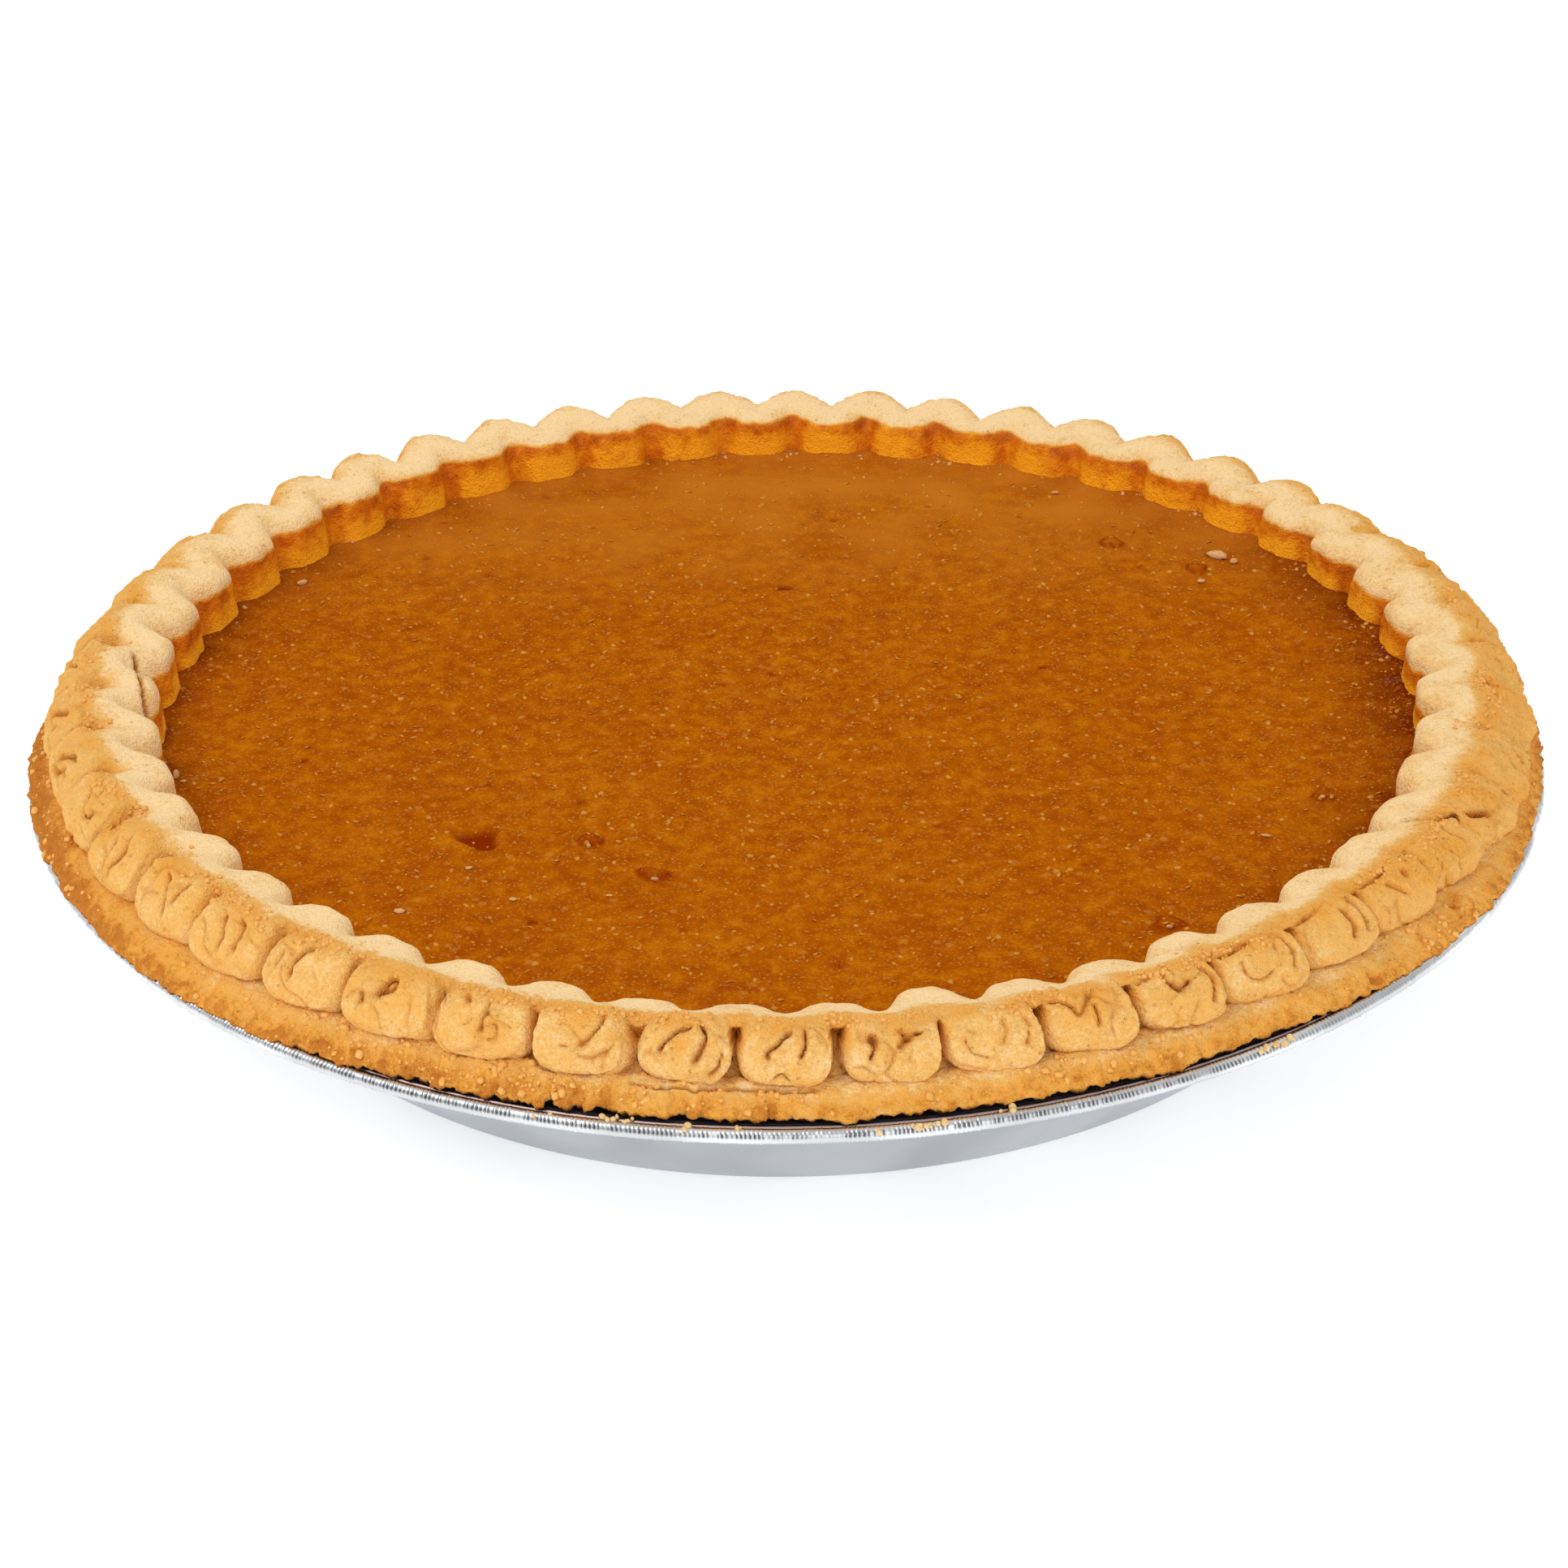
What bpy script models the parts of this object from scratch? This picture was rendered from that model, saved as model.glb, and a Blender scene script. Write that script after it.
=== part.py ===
"""A pumpkin pie in its own foil tin, at real size, as three solids: tin, crust and filling.

The tin is a plain turned profile. The crust and the filling are turned too, and then fluted: each
ring of the crust runs from a point in the grooves to a point on the thumb pads and back, so that
round pads stand out of the outer slope and the inner wall is notched behind each pad.
The origin is the middle of the tin's base, +Z is up, and a pad's middle faces -Y.
"""

import math
import random
from typing import NamedTuple

import bpy

# Tin, in metres: a ten inch foil pie plate
TIN_RIM_RADIUS = 0.127
TIN_BASE_RADIUS = 0.0947
TIN_MOUTH_RADIUS = 0.1172
TIN_FLANGE_HEIGHT = 0.0298
TIN_BEAD_RADIUS = 0.0012
TIN_CORNER_RADIUS = 0.0025
FOIL = 0.0003
TIN_STEPS = 60
CORNER_STEPS = 2
BEAD_STEPS = 6
BEAD_END = -165

# Crust: the shell in the tin
SHELL_THICKNESS = 0.0042
SHOULDER_RADIUS = 0.1068
SHOULDER_HEIGHT = 0.0285

# Crust: the fluted inner wall, where a lobe leans in at each groove and a notch lies behind each pad
LOBE_RADIUS = 0.1053
LOBE_HEIGHT = 0.0392
NOTCH_DEPTH = 0.0030
WALL_LEAN = 0.0008
CREST_INNER_STEP = 0.0024
CREST_INNER_RISE = 0.0017

# Crust: the outer slope, an arc down each groove and an arc down each pad's middle
PAD_COUNT = 48
STEPS_PER_PAD = 4
GROOVE_CENTRE = (0.1125, 0.0355)
GROOVE_RADIUS = 0.0055
PAD_CENTRE = (0.1163, 0.0366)
PAD_RADIUS = 0.0057
SLOPE_START = 98
SLOPE_END = -38
SLOPE_STEPS = 5
PAD_UNEVENNESS = 0.15
RANDOM_SEED = 7
WIDE_PADS = 0.6
EVEN_FLUTES = 1.4
NARROW_NOTCHES = 2.5

# Crust: the skirt of spare pastry on the tin's flange
SKIRT_RADIUS = 0.1244
SKIRT_TOP = 0.0326
SKIRT_THICKNESS = 0.0009
SKIRT_ROOT_RADIUS = 0.1208
SKIRT_OPEN = 0.0017

# How far the hand-made crust is from round and level, above the height where it leaves the tin
OVAL = 0.0010
OVAL_TURN = 10
OVAL_RISE = 0.0015
TILT = 0.0010
SADDLE = 0.0005

# Filling
FILLING_LEVEL = 0.0327
FILLING_EDGE_RISE = 0.0005
FILLING_EDGE_WIDTH = 0.0045

GAP = 0.0003
AXIS_MERGE = 0.00005
SHARP_ANGLE = 40

FOIL_COLOUR = (0.80, 0.82, 0.84, 1.0)
FOIL_ROUGHNESS = 0.35
CRUST_COLOUR = (0.78, 0.52, 0.24, 1.0)
CRUST_ROUGHNESS = 0.85
FILLING_COLOUR = (0.52, 0.20, 0.03, 1.0)
FILLING_ROUGHNESS = 0.4


class Ring(NamedTuple):
    """One ring of a fluted piece: its (radius, height) in a groove and at a pad's middle.

    A sharpness over 1 keeps the pad's end of the ring narrow, and one under 1 keeps it wide.
    """

    groove: tuple
    pad: tuple
    sharpness: float = 1.0


def clear_scene():
    """Remove every object that the file starts with."""
    for item in list(bpy.data.objects):
        bpy.data.objects.remove(item, do_unlink=True)


def make_collection(name):
    """Add a collection to the scene."""
    collection = bpy.data.collections.new(name)
    bpy.context.scene.collection.children.link(collection)
    return collection


def make_material(name, colour, roughness, metallic):
    """Make a Principled material from a colour and two numbers."""
    material = bpy.data.materials.new(name)
    material.use_nodes = True
    shader = material.node_tree.nodes["Principled BSDF"]
    shader.inputs["Base Color"].default_value = colour
    shader.inputs["Roughness"].default_value = roughness
    shader.inputs["Metallic"].default_value = metallic
    material.diffuse_color = colour
    return material


def arc(centre, radius, start, end, steps):
    """Points of an arc in a profile, from one angle to another in degrees."""
    points = []
    for step in range(steps + 1):
        angle = math.radians(start + (end - start) * step / steps)
        points.append((centre[0] + radius * math.cos(angle), centre[1] + radius * math.sin(angle)))
    return points


def turn(name, profile, steps, rings=()):
    """Turn a profile of (radius, height) points round the Z axis and return the closed mesh.

    With rings, every vertex keeps what its ring says: how far out and up its pad's end lies from
    the profile, and the ring's sharpness.
    """
    mesh = bpy.data.meshes.new(name + "_profile")
    edges = [(index, index + 1) for index in range(len(profile) - 1)]
    mesh.from_pydata([(radius, 0.0, height) for radius, height in profile], edges, [])
    if rings:
        kept = {
            "out": [ring.pad[0] - ring.groove[0] for ring in rings],
            "up": [ring.pad[1] - ring.groove[1] for ring in rings],
            "sharpness": [ring.sharpness for ring in rings],
        }
        for key, values in kept.items():
            mesh.attributes.new(key, "FLOAT", "POINT").data.foreach_set("value", values)
    holder = bpy.data.objects.new(name + "_profile", mesh)
    bpy.context.scene.collection.objects.link(holder)
    screw = holder.modifiers.new("Turn", "SCREW")
    screw.steps = steps
    screw.render_steps = steps
    screw.use_merge_vertices = True
    screw.merge_threshold = AXIS_MERGE
    graph = bpy.context.evaluated_depsgraph_get()
    turned = bpy.data.meshes.new_from_object(holder.evaluated_get(graph))
    bpy.data.objects.remove(holder, do_unlink=True)
    turned.name = name
    return turned


def add_piece(name, mesh, material, collection):
    """Put a finished mesh in the scene as one named, smooth-shaded object."""
    mesh.materials.clear()
    mesh.materials.append(material)
    mesh.shade_smooth()
    mesh.set_sharp_from_angle(angle=math.radians(SHARP_ANGLE))
    piece = bpy.data.objects.new(name, mesh)
    collection.objects.link(piece)
    # Crust and filling share a fluted face, so their twisted quads are split the same way.
    piece.modifiers.new("Split", "TRIANGULATE").quad_method = "SHORTEST_DIAGONAL"
    return piece


def side_radius(height):
    """Radius of the tin's sloping side, on its inner face, at a height above the base."""
    share = (height - FOIL) / (TIN_FLANGE_HEIGHT - FOIL)
    return TIN_BASE_RADIUS + (TIN_MOUTH_RADIUS - TIN_BASE_RADIUS) * share


def tin_profile():
    """Outline of the tin, from the axis inside, over the rolled rim, to the axis underneath."""
    slope = math.degrees(
        math.atan2(TIN_FLANGE_HEIGHT - FOIL, TIN_MOUTH_RADIUS - TIN_BASE_RADIUS)
    )
    lean = math.tan(math.radians(slope / 2))
    inner = TIN_CORNER_RADIUS
    outer = TIN_CORNER_RADIUS + FOIL
    corner = (TIN_BASE_RADIUS - inner * lean, FOIL + inner)
    top = TIN_FLANGE_HEIGHT + FOIL
    bead = (TIN_RIM_RADIUS - TIN_BEAD_RADIUS, top)
    inside = [(0.0, FOIL)] + arc(corner, inner, -90, slope - 90, CORNER_STEPS)
    inside.append((TIN_MOUTH_RADIUS, top))
    rolled = arc(bead, TIN_BEAD_RADIUS, 180, BEAD_END, BEAD_STEPS)
    under = [(TIN_MOUTH_RADIUS + FOIL, TIN_FLANGE_HEIGHT)]
    under += arc(corner, outer, slope - 90, -90, CORNER_STEPS)
    return inside + rolled + under + [(0.0, 0.0)]


def plain_ring(radius, height):
    """A ring with no flutes."""
    return Ring((radius, height), (radius, height))


def inner_rings():
    """The crust's rings that the filling meets, from the axis out and up to the wall's foot."""
    floor = FOIL + GAP + SHELL_THICKNESS
    foot_height = FILLING_LEVEL + FILLING_EDGE_RISE
    foot = LOBE_RADIUS - WALL_LEAN
    return [
        plain_ring(0.0, floor),
        plain_ring(side_radius(floor) - SHELL_THICKNESS, floor),
        plain_ring(SHOULDER_RADIUS, SHOULDER_HEIGHT),
        Ring((foot, foot_height), (foot + NOTCH_DEPTH, foot_height), NARROW_NOTCHES),
    ]


def wall_rings():
    """The top of the inner wall and the inner edge of the crest."""
    edge = LOBE_RADIUS + CREST_INNER_STEP
    rise = LOBE_HEIGHT + CREST_INNER_RISE
    return [
        Ring((LOBE_RADIUS, LOBE_HEIGHT), (LOBE_RADIUS + NOTCH_DEPTH, LOBE_HEIGHT), NARROW_NOTCHES),
        Ring((edge, rise), (edge + NOTCH_DEPTH, rise), EVEN_FLUTES),
    ]


def slope_rings():
    """The crest and the outer slope, down to the pads' lower ends."""
    grooves = arc(GROOVE_CENTRE, GROOVE_RADIUS, SLOPE_START, SLOPE_END, SLOPE_STEPS)
    pads = arc(PAD_CENTRE, PAD_RADIUS, SLOPE_START, SLOPE_END, SLOPE_STEPS)
    return [Ring(groove, pad, WIDE_PADS) for groove, pad in zip(grooves, pads)]


def skirt_rings():
    """The skirt's top, its lip, its underside and the rest of the shell's outer face."""
    floor = FOIL + GAP
    bed = TIN_FLANGE_HEIGHT + FOIL + GAP
    under = SKIRT_TOP - SKIRT_THICKNESS
    inset = 2 * GAP
    return [
        Ring((GROOVE_CENTRE[0] + GROOVE_RADIUS, SKIRT_TOP - GAP), (SKIRT_ROOT_RADIUS, SKIRT_TOP)),
        plain_ring(SKIRT_RADIUS, SKIRT_TOP - GAP),
        plain_ring(SKIRT_RADIUS - SKIRT_OPEN / 2, under),
        plain_ring(SKIRT_RADIUS - 2 * SKIRT_OPEN, bed),
        plain_ring(TIN_MOUTH_RADIUS - inset, bed),
        plain_ring(side_radius(floor) - inset - TIN_CORNER_RADIUS, floor),
        plain_ring(0.0, floor),
    ]


def flute(mesh, pad_sizes, inset=0.0):
    """Move every vertex from its groove's place towards its pad's place, round the pie.

    pad_sizes says how large each pad is, and inset draws the whole piece in towards the axis.
    """
    out = mesh.attributes["out"].data
    up = mesh.attributes["up"].data
    sharpness = mesh.attributes["sharpness"].data
    bed = TIN_FLANGE_HEIGHT + FOIL + GAP
    for index, vertex in enumerate(mesh.vertices):
        radius = math.hypot(vertex.co.x, vertex.co.y)
        if radius < AXIS_MERGE:
            continue
        angle = math.atan2(vertex.co.y, vertex.co.x)
        phase = (angle + math.pi / 2) / (2 * math.pi) * PAD_COUNT
        size = pad_sizes[round(phase) % PAD_COUNT]
        share = size * abs(math.cos(math.pi * phase)) ** sharpness[index].value
        new_radius = radius + out[index].value * share - inset
        height = vertex.co.z + up[index].value * share
        above = max(0.0, height - bed)
        oval = OVAL * math.cos(2 * (angle - math.radians(OVAL_TURN)))
        new_radius += oval * min(1.0, above / OVAL_RISE)
        lift = SADDLE * math.cos(2 * angle) - TILT * math.cos(angle)
        height += lift * max(0.0, height - SKIRT_TOP) / (LOBE_HEIGHT - SKIRT_TOP)
        vertex.co.x *= new_radius / radius
        vertex.co.y *= new_radius / radius
        vertex.co.z = height


def make_fluted(name, rings, material, collection, pad_sizes, inset=0.0):
    """Turn a list of rings into one fluted piece."""
    mesh = turn(name, [ring.groove for ring in rings], PAD_COUNT * STEPS_PER_PAD, rings)
    flute(mesh, pad_sizes, inset)
    return add_piece(name, mesh, material, collection)


def make_tin(material, collection):
    """The foil tin: a sloping side, a flat flange and a rolled rim."""
    return add_piece("foil_tin", turn("foil_tin", tin_profile(), TIN_STEPS), material, collection)


def make_crust(material, collection, pad_sizes):
    """The pastry shell with its fluted wall, crest, thumb pads and skirt."""
    rings = inner_rings() + wall_rings() + slope_rings() + skirt_rings()
    return make_fluted("crust", rings, material, collection, pad_sizes)


def make_filling(material, collection, pad_sizes):
    """The set custard: it fills the shell to its level and turns up a little at the wall."""
    floor, corner, shoulder, foot = inner_rings()
    rings = [
        plain_ring(0.0, FILLING_LEVEL),
        plain_ring(foot.groove[0] - FILLING_EDGE_WIDTH, FILLING_LEVEL),
        foot,
        shoulder,
        plain_ring(corner.groove[0], corner.groove[1] + GAP),
        plain_ring(0.0, floor.groove[1] + GAP),
    ]
    return make_fluted("filling", rings, material, collection, pad_sizes, inset=GAP)


def main():
    """Build the pie."""
    clear_scene()
    collection = make_collection("pumpkin_pie")
    dice = random.Random(RANDOM_SEED)
    pad_sizes = [1 + PAD_UNEVENNESS * (dice.random() * 2 - 1) for _ in range(PAD_COUNT)]
    foil = make_material("foil", FOIL_COLOUR, FOIL_ROUGHNESS, 1.0)
    pastry = make_material("pastry", CRUST_COLOUR, CRUST_ROUGHNESS, 0.0)
    custard = make_material("custard", FILLING_COLOUR, FILLING_ROUGHNESS, 0.0)
    make_tin(foil, collection)
    make_crust(pastry, collection, pad_sizes)
    make_filling(custard, collection, pad_sizes)


main()
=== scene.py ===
"""The looks of a baked pumpkin pie in its own foil tin.

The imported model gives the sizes. This script makes the visible surfaces: the pastry rim with its
crest, thumb pads and skirt, the custard with its pits, blisters and specks, the foil tin with its
soft panels and crimped rim, and the loose crumbs. It ends with a plain studio round the pie.
Lengths are in metres, +Z is up and -Y faces the camera.
"""

import itertools
import logging
import math
from dataclasses import dataclass, field
from enum import Enum
from typing import Any, Optional, Sequence, Union

import bmesh
import bpy
import numpy as np
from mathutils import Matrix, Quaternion, Vector

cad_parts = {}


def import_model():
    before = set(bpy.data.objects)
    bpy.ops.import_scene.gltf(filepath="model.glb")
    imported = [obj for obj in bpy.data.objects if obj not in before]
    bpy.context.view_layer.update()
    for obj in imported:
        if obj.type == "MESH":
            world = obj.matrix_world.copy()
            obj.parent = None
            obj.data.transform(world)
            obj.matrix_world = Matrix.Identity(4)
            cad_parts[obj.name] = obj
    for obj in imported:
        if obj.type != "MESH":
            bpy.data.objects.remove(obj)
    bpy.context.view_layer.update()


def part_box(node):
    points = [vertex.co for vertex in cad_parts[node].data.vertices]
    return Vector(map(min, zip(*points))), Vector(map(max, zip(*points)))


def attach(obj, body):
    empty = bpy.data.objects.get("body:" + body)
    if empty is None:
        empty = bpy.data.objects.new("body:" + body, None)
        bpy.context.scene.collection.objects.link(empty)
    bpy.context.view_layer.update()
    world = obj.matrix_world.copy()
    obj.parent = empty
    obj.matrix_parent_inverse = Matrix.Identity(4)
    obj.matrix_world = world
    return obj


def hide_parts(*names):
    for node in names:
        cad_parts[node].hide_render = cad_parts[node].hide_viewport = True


LOG = logging.getLogger("pie")
MM = 0.001
BODY = "root"
Colour = tuple[float, float, float]
Number = Union[int, float]


class Slot(Enum):
    """The record's material slots."""

    FOIL = "foil"
    PASTRY = "pastry"
    CUSTARD = "custard"


class Mark(Enum):
    """The per-vertex values that the finishes read."""

    # Real browning of the pastry plus painted shade under the ridge's lip; on the custard, a painted sheen that
    # lightens the far side
    TOAST = "toast"
    STAIN = "stain"
    # Painted shade in folds, hollows, slots, pores, cracks, pits, blister rings and crimp grooves; on the custard
    # also a few real stain spots
    CREASE = "crease"
    # Soot black for the skirt's charred underside and the flange's burnt juice, painted also as the deep shadow
    # under the skirt's edge
    CHAR = "char"
    # On the pastry, painted shade under the crest, in the notches and at the wall's foot, over the syrup's own tone;
    # on the custard, painted shade near the crust's wall
    EDGE = "edge"
    DENSITY = "density"


# ---------------------------------------------------------------------------------------------
# Random values and small numeric helpers


class Noise:
    """Smooth random values through space, the same each run."""

    CELLS = 256

    def __init__(self, seed: int) -> None:
        """Fix the random slopes.

        Args:
            seed: The number that picks this field out of all others.
        """
        dice = np.random.default_rng(seed)
        self.order = np.tile(dice.permutation(self.CELLS), 2)
        slopes = dice.normal(size=(self.CELLS, 3))
        self.slopes = slopes / np.linalg.norm(slopes, axis=1, keepdims=True)

    def at(self, points: np.ndarray, size: float) -> np.ndarray:
        """Read the field.

        Args:
            points: Places, with x, y and z on the last axis.
            size: How wide one lump of the field is.

        Returns:
            A value from about -1 to 1 for each place.
        """
        place = points / size
        cell = np.floor(place).astype(int)
        offset = place - cell
        fade = offset**3 * (offset * (offset * 6 - 15) + 10)
        total = np.zeros(points.shape[:-1])
        for corner in itertools.product((0, 1), repeat=3):
            key = (cell + corner) & (self.CELLS - 1)
            pick = self.order[self.order[self.order[key[..., 0]] + key[..., 1]] + key[..., 2]]
            slope = (self.slopes[pick] * (offset - corner)).sum(-1)
            weight = np.where(corner, fade, 1 - fade).prod(-1)
            total += slope * weight
        return total * 1.6

    def layers(self, points: np.ndarray, size: float, octaves: int = 3) -> np.ndarray:
        """Add finer and weaker copies of the field to itself.

        Args:
            points: Places, with x, y and z on the last axis.
            size: How wide the largest lumps are.
            octaves: How many copies are added.

        Returns:
            A value from about -1 to 1 for each place.
        """
        total = np.zeros(points.shape[:-1])
        for octave in range(octaves):
            total += self.at(points + octave, size / 2**octave) / 2**octave
        return total / 1.5


def ease(values: np.ndarray, low: float, high: float) -> np.ndarray:
    """Run smoothly from 0 at low to 1 at high.

    Args:
        values: What is compared with low and high.
        low: Where the result is 0.
        high: Where the result is 1, which may be below low.

    Returns:
        The smooth step of each value.
    """
    share = np.clip((values - low) / (high - low), 0, 1)
    return share * share * (3 - 2 * share)


def bump(values: np.ndarray, width: float) -> np.ndarray:
    """A round bump of height 1 at 0 that fades over width."""
    return np.exp(-((values / width) ** 2))


def smooth_line(keys: Sequence[tuple[float, float]], places: np.ndarray) -> np.ndarray:
    """Run a smooth line through the key points.

    Args:
        keys: The key points.
        places: Where the line is read: 2.5 is halfway between the third key and the fourth.

    Returns:
        One point of the line for each place.
    """
    points = np.array(keys)
    last = len(points) - 1
    first = np.clip(np.floor(places).astype(int), 0, last - 1)
    share = (places - first)[:, None]
    before, start = points[np.maximum(first - 1, 0)], points[first]
    end, after = points[first + 1], points[np.minimum(first + 2, last)]
    linear = end - before
    square = 2 * before - 5 * start + 4 * end - after
    cube = 3 * (start - end) + after - before
    return start + 0.5 * share * (linear + share * (square + share * cube))


def path_offset(u: np.ndarray, v: np.ndarray, path: np.ndarray) -> np.ndarray:
    """Distance from each (u, v) to a path of straight steps, negative on its left."""
    nearest = np.full(np.broadcast(u, v).shape, np.inf)
    for (u0, v0), (u1, v1) in zip(path[:-1], path[1:]):
        du, dv = u1 - u0, v1 - v0
        share = np.clip(((u - u0) * du + (v - v0) * dv) / (du * du + dv * dv), 0, 1)
        away = np.hypot(u - u0 - share * du, v - v0 - share * dv)
        side = np.where((v - v0) * du - (u - u0) * dv < 0, -1.0, 1.0)
        nearest = np.where(away < np.abs(nearest), away * side, nearest)
    return nearest


# ---------------------------------------------------------------------------------------------
# Meshes


def ring_points(radius: np.ndarray, height: np.ndarray, angle: np.ndarray) -> np.ndarray:
    """Points round the Z axis, with the angle counted from -Y towards +X."""
    return np.stack([radius * np.sin(angle), -radius * np.cos(angle), height + 0 * angle], -1)


def sheet_normals(points: np.ndarray) -> np.ndarray:
    """Outward unit normals of a sheet whose rows run down its outer side and whose columns close."""
    across = np.roll(points, -1, axis=1) - np.roll(points, 1, axis=1)
    along = np.gradient(points, axis=0)
    normals = np.cross(across, along)
    return -normals / np.maximum(np.linalg.norm(normals, axis=-1, keepdims=True), 1e-12)


@dataclass
class Sheet:
    """A closed ring of points, rows by columns, that becomes one mesh.

    With looped rows the last row joins the first, as on a doughnut. Otherwise the first and the
    last row are closed with a point on the axis.
    """

    points: np.ndarray
    marks: dict[Mark, np.ndarray] = field(default_factory=dict)
    looped: bool = True

    def mesh(self, name: str) -> bpy.types.Mesh:
        """Make the mesh.

        Args:
            name: The mesh's name.

        Returns:
            The smooth-shaded mesh, with the marks as attributes.
        """
        rows, columns = self.points.shape[:2]
        index = np.arange(rows * columns).reshape(rows, columns)
        if self.looped:
            upper, lower = index, np.roll(index, -1, axis=0)
        else:
            upper, lower = index[:-1], index[1:]
        quads = np.stack(
            [upper, lower, np.roll(lower, -1, axis=1), np.roll(upper, -1, axis=1)], -1
        ).reshape(-1, 4)
        vertices = self.points.reshape(-1, 3)
        faces = quads.tolist()
        if not self.looped:
            poles = np.array([[0.0, 0.0, self.points[row, :, 2].mean()] for row in (0, -1)])
            vertices = np.concatenate([vertices, poles])
            top, bottom = rows * columns, rows * columns + 1
            first, last = index[0], index[-1]
            faces += np.stack([first, np.roll(first, -1), np.full(columns, top)], -1).tolist()
            faces += np.stack([np.roll(last, -1), last, np.full(columns, bottom)], -1).tolist()
        mesh = bpy.data.meshes.new(name)
        mesh.from_pydata(vertices.tolist(), [], faces)
        for mark, values in self.marks.items():
            kept = np.zeros(len(vertices), np.float32)
            kept[: rows * columns] = values.reshape(-1)
            mesh.attributes.new(mark.value, "FLOAT", "POINT").data.foreach_set("value", kept)
        mesh.shade_smooth()
        mesh.update()
        return mesh


def add_piece(
    name: str, mesh: bpy.types.Mesh, material: bpy.types.Material
) -> bpy.types.Object:
    """Put a finished mesh in the scene, riding on the pie's one body.

    Args:
        name: The piece's name.
        mesh: Its mesh, already in place.
        material: Its finish.

    Returns:
        The piece.
    """
    mesh.materials.clear()
    mesh.materials.append(material)
    piece = bpy.data.objects.new(name, mesh)
    bpy.context.scene.collection.objects.link(piece)
    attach(piece, BODY)
    LOG.info("%s: %d faces", name, len(mesh.polygons))
    return piece


# ---------------------------------------------------------------------------------------------
# Node trees


class Value:
    """One output of a node, which adds a Math node when it is used in a sum."""

    def __init__(self, kit: "NodeKit", socket: bpy.types.NodeSocket) -> None:
        """Wrap a socket.

        Args:
            socket: The output socket.
        """
        self.kit = kit
        self.socket = socket

    def other(self, name: str) -> "Value":
        """Another output of the same node."""
        return Value(self.kit, self.kit.find(self.socket.node.outputs, name))

    def math(self, operation: str, *terms: Union["Value", Number], clamp: bool = False) -> "Value":
        """Add a Math node.

        Args:
            operation: The node's operation.
            terms: Its inputs, in order.
            clamp: Whether the result is held between 0 and 1.

        Returns:
            The node's output.
        """
        settings = {"operation": operation, "use_clamp": clamp}
        return self.kit.node("ShaderNodeMath", settings, dict(enumerate(terms)))

    def __add__(self, term: Union["Value", Number]) -> "Value":
        """Add."""
        return self.math("ADD", self, term)

    __radd__ = __add__

    def __mul__(self, term: Union["Value", Number]) -> "Value":
        """Multiply."""
        return self.math("MULTIPLY", self, term)

    __rmul__ = __mul__

    def __sub__(self, term: Union["Value", Number]) -> "Value":
        """Subtract a term from this."""
        return self.math("SUBTRACT", self, term)

    def __rsub__(self, term: Union["Value", Number]) -> "Value":
        """Subtract this from a term."""
        return self.math("SUBTRACT", term, self)

    def __truediv__(self, term: Union["Value", Number]) -> "Value":
        """Divide this by a term."""
        return self.math("DIVIDE", self, term)

    def __pow__(self, term: Union["Value", Number]) -> "Value":
        """Raise this to a power."""
        return self.math("POWER", self, term)

    def clamp(self) -> "Value":
        """Hold this between 0 and 1."""
        return self.math("ADD", self, 0, clamp=True)

    def ease(self, low: float, high: float) -> "Value":
        """Run smoothly from 0 at low to 1 at high, which may be below low."""
        settings = {"interpolation_type": "SMOOTHSTEP"}
        if low < high:
            sockets = {"Value": self, "From Min": low, "From Max": high}
            return self.kit.node("ShaderNodeMapRange", settings, sockets)
        sockets = {"Value": self, "From Min": high, "From Max": low, "To Min": 1.0, "To Max": 0.0}
        return self.kit.node("ShaderNodeMapRange", settings, sockets)


Feed = Union[Value, Number, Sequence[float], bpy.types.Material, str, bool]


class NodeKit:
    """Adds nodes to one node tree."""

    def __init__(self, tree: bpy.types.NodeTree) -> None:
        """Keep the tree that the nodes go in."""
        self.tree = tree

    @staticmethod
    def find(sockets: Any, key: Union[str, int]) -> bpy.types.NodeSocket:
        """Find a socket by its number, its identifier or its name."""
        if isinstance(key, int):
            return sockets[key]
        for socket in sockets:
            if socket.identifier == key:
                return socket
        return sockets[key]

    def feed(self, socket: bpy.types.NodeSocket, value: Feed) -> None:
        """Link a value to a socket, or set the socket to it."""
        if isinstance(value, Value):
            self.tree.links.new(value.socket, socket)
        elif socket.type == "RGBA" and len(value) == 3:
            socket.default_value = (*value, 1.0)
        else:
            socket.default_value = value

    def node(
        self,
        kind: str,
        settings: Optional[dict[str, Any]] = None,
        sockets: Optional[dict[Union[str, int], Feed]] = None,
        output: Union[str, int] = 0,
    ) -> Value:
        """Add a node.

        Args:
            kind: The node's type.
            settings: Its properties, which are set first. A ramp's stops are given as "stops".
            sockets: What its inputs are set or linked to.
            output: Which of its outputs is wanted.

        Returns:
            That output.
        """
        made = self.tree.nodes.new(kind)
        for key, value in (settings or {}).items():
            if key == "stops":
                self._set_stops(made.color_ramp, value)
            else:
                setattr(made, key, value)
        for key, value in (sockets or {}).items():
            self.feed(self.find(made.inputs, key), value)
        return Value(self, self.find(made.outputs, output))

    @staticmethod
    def _set_stops(ramp: bpy.types.ColorRamp, stops: Sequence[tuple[float, Colour]]) -> None:
        """Give a colour ramp its stops."""
        while len(ramp.elements) < len(stops):
            ramp.elements.new(0.5)
        for element, (place, colour) in zip(ramp.elements, stops):
            element.position = place
            element.color = (*colour, 1.0)


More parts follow.
